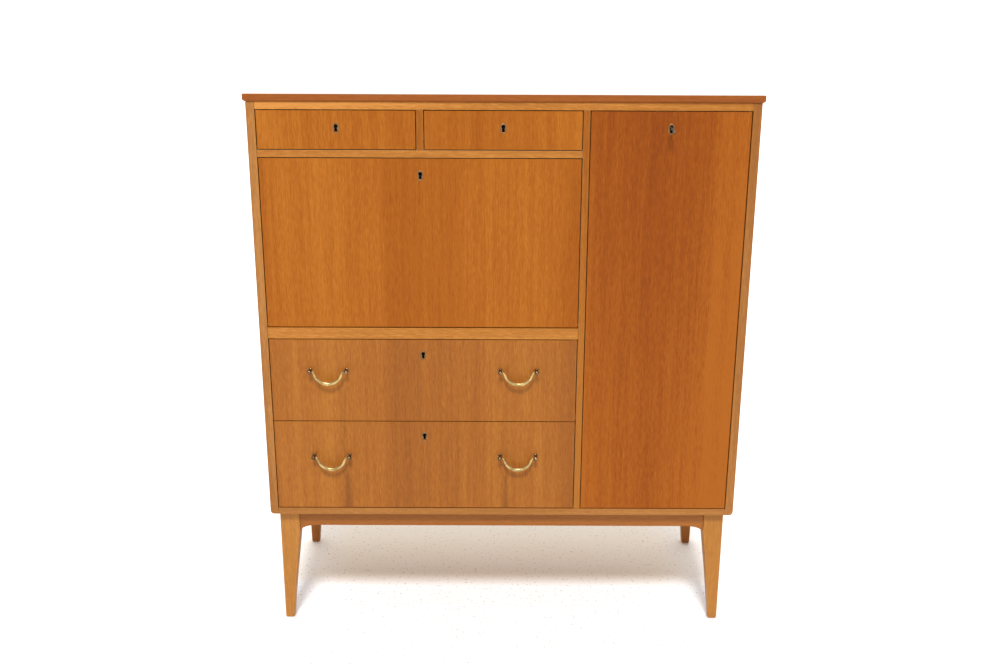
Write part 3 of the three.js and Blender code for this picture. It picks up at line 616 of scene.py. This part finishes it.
def case_pieces(woods):
    """Boards of the case. Front edges are solid lipping, with the grain along each edge."""
    veneer, edge = woods["case_veneer"], woods["edge_wood"]
    inner, back = woods["inner_wood"], woods["back_board"]

    def lipped(side_grain, edge_grain):
        return lambda face: (1, edge_grain) if face.normal.y < -0.5 else (0, side_grain)

    def polished(face):
        return (1 if face.normal.z > 0.5 else 0, "X")

    refined("top_panel", [veneer, woods["top_veneer"]], choose=polished)
    for side in ("left", "right"):
        side_woods = [woods["side_veneer"], woods[f"{side}_edge"]]
        refined(f"side_panel_{side}", side_woods, choose=lipped("Z", "Z"))
    refined("bottom_panel", [veneer, woods["side_edge"]], seed=4, choose=lipped("X", "X"))
    refined("top_rail", [woods["rail_wood_painted_light"]], grain="X")
    refined("drawer_deck", [inner, edge], seed=6, choose=lipped("X", "X"))
    refined("desk_rail", [edge], grain="X", seed=7)
    for name in ("partition", "drawer_divider"):
        refined(name, [inner, woods["upright_edge"]], choose=lipped("Z", "Z"))
    refined("desk_floor", [veneer], grain="X", seed=10)
    refined("dust_board", [inner], grain="X", seed=11)
    for seed, level in ((12, "lower"), (13, "upper")):
        refined(f"cupboard_shelf_{level}", [inner], grain="X", seed=seed)
    refined("back_panel", [back], grain="Z", seed=14)
    refined("pigeonhole_unit", [inner], grain="X", seed=15, ease=0.5 * MM)


def stand_pieces(woods):
    for seed, name in enumerate(("leg_front_left", "leg_front_right"), 20):
        refined(name, [woods["leg_wood"]], seed=seed, ease=LEG_EASE)
    # Painted shade: the rear legs and the aprons get the darker wood, as they stand in the case's shadow
    for seed, name in enumerate(("leg_rear_left", "leg_rear_right"), 22):
        refined(name, [woods["painted_shade_wood"]], seed=seed, ease=LEG_EASE)
    aprons = (("apron_front", "X"), ("apron_rear", "X"), ("apron_left", "Y"), ("apron_right", "Y"))
    for seed, (name, axis) in enumerate(aprons, 30):
        refined(name, [woods["painted_shade_wood"]], grain=axis, seed=seed)


def front_pieces(woods):
    for name, slot, finish, seed in FRONTS:
        refined(name, [woods[finish]], seed=seed, outer_only=True)


def tray_pieces(woods):
    def board(face):
        sideways = abs(face.normal.x) > 0.5
        return (0, "Y") if sideways or face.normal.z > 0.5 else (0, "X")

    for seed, drawer in enumerate(DRAWERS, 50):
        refined(f"{drawer}_tray", [woods["inner_wood"]], seed=seed, choose=board)


# ---------------------------------------------------------------- locks

# The board over each locked front, which its bolt rises into
LOCK_RAILS = {
    "small_drawer_left_front": "top_rail",
    "small_drawer_right_front": "top_rail",
    "flap_panel": "drawer_deck",
    "upper_drawer_front": "desk_rail",
    "lower_drawer_front": "dust_board",
    "door_panel": "top_rail",
}
KEYHOLE_DROP = 35.5 * MM  # from a front's upper edge to its lock's middle
BOLT_Y = 14 * MM  # from a front's face to its bolt's middle

KEYHOLE_TOP = 7.6 * MM
KEYHOLE_BOTTOM = -7.8 * MM
KEYHOLE_TIP = 0.3 * MM  # half width at its very top
KEYHOLE_ROUND_Z = 3.6 * MM
KEYHOLE_ROUND_RADIUS = 4.0 * MM
KEYHOLE_JOIN_Z = 1.2 * MM  # where the round part gives way to the waist
KEYHOLE_WAIST_Z = -2.0 * MM
KEYHOLE_WAIST = 2.5 * MM  # half width
KEYHOLE_SHOULDER = 0.7 * MM  # wider than the waist where the round part begins
KEYHOLE_FLARE = 1.2 * MM  # wider than the waist at the foot

PLATE_HALF = (6.9 * MM, 11.3 * MM)
PLATE_PROUD = 0.9 * MM
PLATE_SINK = 0.1 * MM
PLATE_LINING = 4.0 * MM  # how deep the keyhole's turned-in edge goes

LOCK_CASE_BACK = 11.95 * MM
LOCK_POT = ((0.0, 0.0), (8.3, 0.0), (8.3, 5.6), (7.9, 5.6), (7.9, 0.3), (0.0, 0.3))
LOCK_PIN = ((1.1, 0.0), (1.1, 8.2), (0.6, 8.9), (0.0, 9.0))

SELVEDGE_SIZE = (64 * MM, 9.5 * MM)
SELVEDGE_HOLE = (23.2 * MM, 5.2 * MM)
SELVEDGE_SHIFT = 1.0 * MM  # the plate lies this far in front of its bolt
SELVEDGE_SCREW_X = 24 * MM
SELVEDGE_SCREW_Z = 0.3 * MM
STRIKE_SIZE = (52 * MM, 9.0 * MM)
STRIKE_HOLE = (24.4 * MM, 6.2 * MM)
DUST_BOARD_SHIFT = 1.5 * MM  # the dust board starts further back, and so does the strike plate on it


def keyhole_half_width(z):
    """Half width of the keyhole at a height: round above, waisted in the middle and flared at its foot."""
    if z > KEYHOLE_JOIN_Z:
        return math.sqrt(max(KEYHOLE_ROUND_RADIUS ** 2 - (z - KEYHOLE_ROUND_Z) ** 2, 0.0))
    if z > KEYHOLE_WAIST_Z:
        rise = (z - KEYHOLE_WAIST_Z) / (KEYHOLE_JOIN_Z - KEYHOLE_WAIST_Z)
        return KEYHOLE_WAIST + KEYHOLE_SHOULDER * rise ** 2
    fall = (KEYHOLE_WAIST_Z - z) / (KEYHOLE_WAIST_Z - KEYHOLE_BOTTOM)
    return KEYHOLE_WAIST + KEYHOLE_FLARE * fall ** 1.5


def keyhole_outline(steps=20, foot_steps=6):
    """(x, z) points round the keyhole, from its top down the right side, along its foot and up the left."""
    height = KEYHOLE_TOP - KEYHOLE_BOTTOM
    shares = [(1 + math.cos(math.pi * i / steps)) / 2 for i in range(steps + 1)]
    heights = [KEYHOLE_BOTTOM + height * share for share in shares]
    right = [(max(keyhole_half_width(z), KEYHOLE_TIP), z) for z in heights]
    foot_half = right[-1][0]
    foot = [(foot_half * (1 - 2 * i / foot_steps), KEYHOLE_BOTTOM) for i in range(1, foot_steps)]
    left = [(-x, z) for x, z in reversed(right)]
    return right + foot + left


def escutcheon(front, brass):
    """An oval plate round the keyhole, slightly domed, with the keyhole's edge turned in."""
    body = NODES[front]["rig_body"]
    low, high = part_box(front)
    middle = Vector(((low.x + high.x) / 2, FRONT_Y, high.z - KEYHOLE_DROP))
    hole = keyhole_outline()

    def oval(share):
        points = []
        for x, z in hole:
            angle = math.atan2(z / PLATE_HALF[1], x / PLATE_HALF[0])
            points.append((PLATE_HALF[0] * share * math.cos(angle), PLATE_HALF[1] * share * math.sin(angle)))
        return points

    def between(share):
        return [
            (a * (1 - share) + c * share, b * (1 - share) + d * share)
            for (a, b), (c, d) in zip(hole, oval(1.0))
        ]

    def ring(points, proud):
        return [middle + Vector((x, -proud, z)) for x, z in points]

    work = bmesh.new()
    rings = [
        ring(hole, -PLATE_LINING),
        ring(hole, 0.55 * PLATE_PROUD),
        ring(between(0.12), 0.9 * PLATE_PROUD),
        ring(between(0.5), PLATE_PROUD),
        ring(oval(0.93), 0.7 * PLATE_PROUD),
        ring(oval(1.0), 0.15 * PLATE_PROUD),
        ring(oval(1.0), -PLATE_SINK),
        ring(between(0.06), -PLATE_SINK),
        ring(between(0.06), -PLATE_LINING),
    ]
    loft(work, rings, loop=True)
    piece = finish_mesh(f"{body}_escutcheon", work, [brass], body)


def lock_case(front, iron):
    """The iron pot behind the keyhole, near black so that it also stands in for the shade deep in the
    keyhole, with a pin for a hollow key where no key is in the lock.
    """
    body = NODES[front]["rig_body"]
    low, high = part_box(front)
    middle = Vector(((low.x + high.x) / 2, FRONT_Y + LOCK_CASE_BACK, high.z - KEYHOLE_DROP))
    work = bmesh.new()
    lathe(work, metres(LOCK_POT), middle, (0, -1, 0))
    if front != "door_panel":
        lathe(work, metres(LOCK_PIN), middle, (0, -1, 0), sides=16)
    piece = finish_mesh(f"{body}_lock_case", work, [iron], body)


def selvedge_plate(front, brass):
    """The brass plate let in round the bolt on a front's upper edge, with its two screws."""
    body = NODES[front]["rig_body"]
    low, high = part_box(front)
    seat = Vector(((low.x + high.x) / 2, FRONT_Y + BOLT_Y - SELVEDGE_SHIFT, high.z))
    work = bmesh.new()
    frame_plate(work, seat, SELVEDGE_SIZE, SELVEDGE_HOLE, 1, SELVEDGE_SHIFT)
    for side in (-1, 1):
        place = seat + Vector((side * SELVEDGE_SCREW_X, 0, SELVEDGE_SCREW_Z))
        slotted_screw(work, place, (0, 0, 1), radius=2.0 * MM, height=0.35 * MM, turn=0.5 + side)
    piece = finish_mesh(f"{body}_selvedge_plate", work, [brass], body)


def strike_plate(front, rail, brass):
    """The plate round the bolt's pocket, on the underside of the board above."""
    body = NODES[front]["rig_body"]
    low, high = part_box(front)
    seat = Vector(((low.x + high.x) / 2, FRONT_Y + BOLT_Y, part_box(rail)[0].z))
    if rail == "dust_board":
        seat.y += DUST_BOARD_SHIFT
    work = bmesh.new()
    frame_plate(work, seat, STRIKE_SIZE, STRIKE_HOLE, -1, FRONT_Y + BOLT_Y - seat.y)
    piece = finish_mesh(f"{body}_strike_plate", work, [brass], "carcass")


def lock_pieces(metals):
    for front, rail in LOCK_RAILS.items():
        escutcheon(front, metals["plate_brass"])
        lock_case(front, metals["keyhole_shade_iron"])
        selvedge_plate(front, metals["aged_brass"])
        strike_plate(front, rail, metals["aged_brass"])


# ---------------------------------------------------------------- drop handles

HANDLE_REACH = 15.3 * MM  # from the drawer's face to the bail's pivot line
POST_BALL = 5.0 * MM
POST_BALL_STEPS = 14
POST_BALL_START = 3  # the step of the ball that meets the neck
POST_NECK = (
    (0.0, 0.05), (4.9, 0.05), (5.1, 0.4), (4.9, 0.9), (4.0, 1.3), (3.2, 2.2), (2.8, 4.0), (2.7, 7.0),
    (3.0, 9.4),
)
BAIL_EYE = 2.75 * MM  # from the bail's highest place down to its pivot line
BAIL_THICK = 4.0 * MM
BAIL_THIN = 1.6 * MM
BAIL_SWELL = 1.3
BAIL_DEPTH = 0.72  # its section's depth as a share of its height
BAIL_SIDES = 20
# Half of the bail's centre line, as distance from its middle and height below its pivot line
BAIL_CURVE = (
    (34.6, 0.0), (32.2, -0.9), (29.6, -6.0), (25.4, -15.0), (17.6, -22.2), (9.0, -26.5), (0.0, -28.0),
)
BAIL_COLLAR = ((0.0, -0.2), (2.1, 0.0), (2.4, 0.6), (2.1, 1.2), (1.5, 1.5), (1.5, 5.6), (0.0, 5.6))
BAIL_COLLAR_X = 33.2 * MM
NUT_WASHER = ((0, 0), (6, 0), (6, 0.6), (5.4, 1.0), (0, 1.0))
NUT_BODY = ((0, 0), (3.6, 0), (3.6, 3.2), (2.9, 3.8), (0, 3.8))


def catmull_rom(points, steps):
    """A smooth line through the points, with its two ends held."""
    held = [points[0] * 2 - points[1], *points, points[-1] * 2 - points[-2]]
    line = []
    for a, b, c, d in zip(held, held[1:], held[2:], held[3:]):
        for i in range(steps):
            t = i / steps
            square = (a * 2 - b * 5 + c * 4 - d) * t ** 2
            cube = (b * 3 - a - c * 3 + d) * t ** 3
            line.append((b * 2 + (c - a) * t + square + cube) / 2)
    return [*line, points[-1]]


def handle_post(name, brass):
    """A turned post in place of the CAD's: rosette, waisted neck and ball."""
    low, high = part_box(name)
    root = Vector(((low.x + high.x) / 2, FRONT_Y, (low.z + high.z) / 2))
    profile = metres(POST_NECK)
    for i in range(POST_BALL_START, POST_BALL_STEPS):
        angle = math.pi * (1 - i / POST_BALL_STEPS)
        profile.append((POST_BALL * math.sin(angle), HANDLE_REACH + POST_BALL * math.cos(angle)))
    profile.append((0.0, HANDLE_REACH + POST_BALL))
    work = bmesh.new()
    lathe(work, profile, root, (0, -1, 0), sides=36)
    piece = finish_mesh(f"{name}_turned", work, [brass], NODES[name]["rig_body"])
    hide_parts(name)


def handle_bail(name, brass):
    """The swinging bail in place of the CAD's: thick in the middle, thin at its ends, on two pintles."""
    low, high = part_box(name)
    pivot = Vector(((low.x + high.x) / 2, FRONT_Y - HANDLE_REACH, high.z - BAIL_EYE))
    half = [Vector((-x, 0.0, z)) for x, z in metres(BAIL_CURVE)]
    other = [Vector((-point.x, 0.0, point.z)) for point in reversed(half[:-1])]
    line = catmull_rom(half + other, steps=8)
    rings = []
    for i, point in enumerate(line):
        before, after = line[max(i - 1, 0)], line[min(i + 1, len(line) - 1)]
        along = (after - before).normalized()
        normal = along.cross(Vector((0, 1, 0)))
        share = math.sin(math.pi * i / (len(line) - 1))
        radius = BAIL_THIN + (BAIL_THICK - BAIL_THIN) * share ** BAIL_SWELL
        rings.append([
            pivot + point + normal * radius * math.cos(a) + Vector((0, BAIL_DEPTH * radius * math.sin(a), 0))
            for a in around(BAIL_SIDES)
        ])
    work = bmesh.new()
    loft(work, rings)
    for side in (-1, 1):
        start = pivot + Vector((side * BAIL_COLLAR_X, 0, 0))
        lathe(work, metres(BAIL_COLLAR), start, (side, 0, 0), sides=20)
    piece = finish_mesh(f"{name}_cast", work, [brass], NODES[name]["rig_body"])
    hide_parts(name)


def handle_nuts(drawer, brass):
    """The nuts and washers inside the drawer that hold the posts."""
    work = bmesh.new()
    for side in ("left", "right"):
        for end in (1, 2):
            low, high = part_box(f"{drawer}_{side}_handle_post_{end}")
            place = Vector(((low.x + high.x) / 2, FRONT_Y + FRONT_THICKNESS, (low.z + high.z) / 2))
            lathe(work, metres(NUT_WASHER), place, (0, 1, 0), sides=24)
            lathe(work, metres(NUT_BODY), place, (0, 1, 0), sides=6)
    piece = finish_mesh(f"{drawer}_handle_nuts", work, [brass], drawer)


def handle_pieces(metals):
    for drawer in ("upper_drawer", "lower_drawer"):
        for side in ("left", "right"):
            handle_bail(f"{drawer}_{side}_bail", metals["aged_brass"])
            for end in (1, 2):
                handle_post(f"{drawer}_{side}_handle_post_{end}", metals["dark_brass"])
        handle_nuts(drawer, metals["aged_brass"])


# ---------------------------------------------------------------- flap stays, pivots, screws and pins

STAY_EYE = 5 * MM  # radius of the stay's eye, and of the bracket's ear
STAY_STANDOFF = 6 * MM  # from the flap's inner face to the eye's middle
BRACKET_SHIFT = 7 * MM  # from the stay's middle to the bracket's, towards the wall of the bay
BRACKET_HALF_X = 5.2 * MM
BRACKET_HALF_Z = 15 * MM
BRACKET_DEEP = 1.4 * MM
BRACKET_SCREW_Z = 10 * MM
EAR_SIDES = (1.8 * MM, 3.2 * MM)  # from the stay's middle
EAR_FOOT = 7 * MM  # half of the ear's width where it meets the plate
EAR_STEPS = 12
EAR_SINK = 0.5 * MM  # how far behind the flap's inner face the ear starts, inside the plate
RIVET_START = 2.7 * MM
RIVET = (
    (0.0, 0.0), (2.4, 0.0), (2.6, 0.5), (1.45, 0.9), (1.45, 6.0), (2.9, 6.0), (2.6, 6.9), (1.4, 7.3),
    (0.0, 7.3),
)
GUIDE_RING = ((5.5, 0.05), (5.5, 1.0), (12.4, 1.0), (13.0, 0.5), (13.0, 0.05))
GUIDE_SIDES = 36
GUIDE_SCREW_CIRCLE = 9.4 * MM
GUIDE_SCREW_SEAT = 0.9 * MM

BACK_SCREW_INSET = 9 * MM
BACK_SCREWS_ACROSS = (0.02, 0.2, 0.4, 0.6, 0.8, 0.98)
BACK_SCREWS_UP = (0.2, 0.4, 0.6, 0.8)
SHELF_PIN = ((0, 0), (4.4, 0), (4.4, 0.8), (2.5, 1.1), (2.5, 8.6), (2.0, 9.2), (0, 9.2))
SHELF_PIN_INSET = 45 * MM
SHELF_PIN_DROP = 2.6 * MM


def stay_bracket(side, brass):
    """A plate on the flap's inner face with an ear beside the stay's eye, and the rivet through both."""
    low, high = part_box(f"stay_{side}")
    wall = 1 if side == "left" else -1
    plane = (low.x + high.x) / 2
    inner_face = FRONT_Y + FRONT_THICKNESS
    eye_y, eye_z = inner_face + STAY_STANDOFF, high.z - STAY_EYE
    seat = Vector((plane + wall * BRACKET_SHIFT, inner_face, eye_z))
    work = bmesh.new()
    rings = []
    for share, level in ((1.0, 0.0), (1.0, 0.8 * BRACKET_DEEP), (0.95, BRACKET_DEEP)):
        rings.append([
            seat + Vector((u * BRACKET_HALF_X * share, level, v * BRACKET_HALF_Z * share))
            for u, v in CORNERS
        ])
    loft(work, rings)

    angles = [math.pi * (i / EAR_STEPS - 0.5) for i in range(EAR_STEPS + 1)]
    ear = [(eye_y + STAY_EYE * math.cos(a), eye_z + STAY_EYE * math.sin(a)) for a in angles]
    ear = [(inner_face + EAR_SINK, eye_z - EAR_FOOT), *ear, (inner_face + EAR_SINK, eye_z + EAR_FOOT)]
    loft(work, [[Vector((plane + wall * reach, y, z)) for y, z in ear] for reach in EAR_SIDES])
    start = Vector((plane - wall * RIVET_START, eye_y, eye_z))
    lathe(work, metres(RIVET), start, (wall, 0, 0), sides=20)
    for v in (-1, 1):
        place = seat + Vector((0, BRACKET_DEEP, v * BRACKET_SCREW_Z))
        slotted_screw(work, place, (0, 1, 0), radius=2.4 * MM, height=0.7 * MM, turn=0.3 + v)
    piece = finish_mesh(f"flap_stay_bracket_{side}", work, [brass], "flap")


def guide_plate(side, brass):
    """The ring plate on the wall of the bay that the pivoted guide turns in."""
    low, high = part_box(f"stay_guide_{side}")
    wall = 1 if side == "left" else -1
    bay_side = BAY_LEFT if side == "left" else PARTITION_LEFT
    seat = Vector((bay_side, (low.y + high.y) / 2, (low.z + high.z) / 2))
    work = bmesh.new()
    rings = []
    for radius, level in GUIDE_RING:
        rings.append([
            seat + Vector((wall * level, radius * math.cos(a), radius * math.sin(a))) * MM
            for a in around(GUIDE_SIDES)
        ])
    loft(work, rings, loop=True)
    for i in range(3):
        angle = math.radians(90 + 120 * i)
        y, z = GUIDE_SCREW_CIRCLE * math.cos(angle), GUIDE_SCREW_CIRCLE * math.sin(angle)
        place = seat + Vector((wall * GUIDE_SCREW_SEAT, y, z))
        slotted_screw(work, place, (wall, 0, 0), radius=1.9 * MM, height=0.6 * MM, turn=0.9 * i)
    piece = finish_mesh(f"stay_guide_plate_{side}", work, [brass], "carcass")


def back_screws(steel):
    """Screws round the edge of the back panel."""
    low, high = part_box("back_panel")
    spots = []
    for share in BACK_SCREWS_ACROSS:
        x = low.x + (high.x - low.x) * share
        spots += [(x, low.z + BACK_SCREW_INSET), (x, high.z - BACK_SCREW_INSET)]
    for share in BACK_SCREWS_UP:
        z = low.z + (high.z - low.z) * share
        spots += [(low.x + BACK_SCREW_INSET, z), (high.x - BACK_SCREW_INSET, z)]
    work = bmesh.new()
    for i, (x, z) in enumerate(spots):
        slotted_screw(work, (x, high.y, z), (0, 1, 0), radius=3.2 * MM, height=0.8 * MM, turn=0.7 * i)
    piece = finish_mesh("back_panel_screws", work, [steel], "carcass")


def shelf_pins(level, brass):
    """Four pins under a cupboard shelf."""
    low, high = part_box(f"cupboard_shelf_{level}")
    work = bmesh.new()
    for x, axis in ((PARTITION_RIGHT, 1), (BAY_RIGHT, -1)):
        for y in (low.y + SHELF_PIN_INSET, high.y - SHELF_PIN_INSET):
            lathe(work, metres(SHELF_PIN), (x, y, low.z - SHELF_PIN_DROP), (axis, 0, 0), sides=20)
    piece = finish_mesh(f"cupboard_shelf_{level}_pins", work, [brass], "carcass")


def hardware_pieces(metals):
    brass, steel = metals["aged_brass"], metals["lock_steel"]
    for side in ("left", "right"):
        stay_bracket(side, brass)
        guide_plate(side, brass)
        for name in (f"stay_{side}", f"stay_guide_{side}"):
            refined(name, [brass], ease=0.4 * MM, suffix="bar")
        refined(f"flap_pivot_{side}", [steel], ease=0.25 * MM, suffix="pin")
    for end in ("top", "bottom"):
        refined(f"door_pivot_{end}", [steel], ease=0.25 * MM, suffix="pin")
    refined("door_key", [steel], ease=0.35 * MM, suffix="cast")
    for front in LOCK_RAILS:
        body = NODES[front]["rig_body"]
        refined(f"{body}_bolt", [steel], ease=0.3 * MM, suffix="tongue")
    back_screws(steel)
    for level in ("lower", "upper"):
        shelf_pins(level, brass)


# ---------------------------------------------------------------- camera, light and floor


def add_camera():
    yaw, pitch, roll = (math.radians(angle) for angle in CAMERA_TURN)
    forward = Vector((math.sin(yaw) * math.cos(pitch), math.cos(yaw) * math.cos(pitch), -math.sin(pitch)))
    level = forward.cross(Vector((0, 0, 1))).normalized()
    upright = level.cross(forward)
    right = level * math.cos(roll) + upright * math.sin(roll)
    top = upright * math.cos(roll) - level * math.sin(roll)
    camera = bpy.data.objects.new("camera", bpy.data.cameras.new("camera"))
    camera.data.lens = CAMERA_LENS
    camera.data.sensor_width = SENSOR_WIDTH
    turn = Matrix((right, top, -forward)).transposed().to_4x4()
    camera.matrix_world = Matrix.Translation(Vector(CAMERA_PLACE) + Vector((0, FRONT_Y, 0))) @ turn
    bpy.context.scene.collection.objects.link(camera)
    bpy.context.scene.camera = camera


def add_room():
    """A white room, brighter overhead, near the horizon and behind the desk."""
    world = bpy.data.worlds.new("white_room")
    world.use_nodes = True
    tree = world.node_tree
    background = tree.nodes["Background"]
    direction = node(tree, "ShaderNodeTexCoord").outputs["Generated"]
    axes = node(tree, "ShaderNodeSeparateXYZ", {"Vector": direction}).outputs
    overhead = ranged(tree, axes["Z"], CEILING_FADE, (ROOM_LIGHT, ROOM_LIGHT + CEILING_LIGHT))
    wall = ranged(tree, axes["Z"], WALL_FADE, (WALL_LIGHT, 0.0))
    behind = ranged(tree, axes["Y"], BACKDROP_FADE, (0.0, BACKDROP_LIGHT))
    behind = math_node(tree, "MAXIMUM", wall, behind)
    tree.links.new(math_node(tree, "ADD", overhead, behind), background.inputs["Strength"])
    background.inputs["Color"].default_value = (1.0, 1.0, 1.0, 1.0)
    bpy.context.scene.world = world


def add_key_light():
    """One large soft lamp, high in front of the desk and a little to its left."""
    lamp = bpy.data.lights.new("key_light", "SUN")
    lamp.energy = KEY_STRENGTH
    lamp.angle = KEY_SPREAD
    key = bpy.data.objects.new("key_light", lamp)
    key.rotation_euler = Vector(KEY_DIRECTION).to_track_quat("Z", "Y").to_euler()
    bpy.context.scene.collection.objects.link(key)


def add_floor():
    work = bmesh.new()
    bmesh.ops.create_grid(work, x_segments=2, y_segments=2, size=FLOOR_REACH)
    mesh = bpy.data.meshes.new("floor")
    work.to_mesh(mesh)
    work.free()
    mesh.materials.append(floor_material())
    floor = bpy.data.objects.new("floor", mesh)
    bpy.context.scene.collection.objects.link(floor)


# ---------------------------------------------------------------- the whole scene


def make_woods():
    """Every wood by name. Those with bands, drift or streaks are laid out on their own panels."""
    floor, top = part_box("partition")[0].z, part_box("partition")[1].z
    plain = ("case_veneer", "edge_wood", "leg_wood", "painted_shade_wood", "inner_wood", "back_board")
    woods = {name: wood(name, TONES[name], contrast=PLAIN_CONTRAST) for name in plain}
    column = {"span": (BAY_LEFT, PARTITION_LEFT), "bands": COLUMN_BANDS}
    cupboard = {"span": (PARTITION_RIGHT, BAY_RIGHT), "bands": DOOR_BANDS, "drift": (top, floor, DOOR_DRIFT)}
    front, drawer, door = TONES["front_veneer"], TONES["drawer_veneer"], TONES["door_veneer"]
    side_edge, upright_edge = TONES["side_edge"], TONES["upright_edge"]
    upright_drift = (top, floor, UPRIGHT_DRIFT)
    woods["small_veneer"] = wood("small_veneer", front, contrast=1.1, gloss=VENEER_GLOSS)
    woods["column_veneer"] = wood("column_veneer", front, **column, gloss=VENEER_GLOSS)
    woods["streaked_veneer"] = wood("streaked_veneer", drawer, **column, streaks=STREAKS)
    woods["door_veneer"] = wood("door_veneer", door, **cupboard, contrast=0.9, gloss=VENEER_GLOSS)
    woods["top_veneer"] = wood("top_veneer", drawer, polish=1.0)
    woods["side_veneer"] = wood("side_veneer", drawer, gloss=VENEER_GLOSS)
    # Painted light: the rail is paler towards its left end, where the light falls from the left
    woods["rail_wood_painted_light"] = wood("rail_wood_painted_light", TONES["edge_wood"], drift=(0.0, BAY_LEFT, RAIL_PAINTED_LIGHT))
    woods["side_edge"] = wood("side_edge", side_edge)
    # Painted light and shade: the left side's edge is paler towards the top and the right side's darker
    for side, added in SIDE_PAINTED_LIGHT.items():
        woods[f"{side}_edge"] = wood(f"{side}_edge", side_edge, drift=(floor, top, added))
    woods["upright_edge"] = wood("upright_edge", upright_edge, drift=upright_drift, gloss=VENEER_GLOSS)
    return woods


woods = make_woods()
metals = {name: metal(name, *look) for name, look in METALS.items()}
case_pieces(woods)
stand_pieces(woods)
front_pieces(woods)
tray_pieces(woods)
lock_pieces(metals)
handle_pieces(metals)
hardware_pieces(metals)
add_camera()
add_room()
add_key_light()
add_floor()
bpy.context.scene.view_settings.view_transform = "Standard"

bpy.context.view_layer.update()
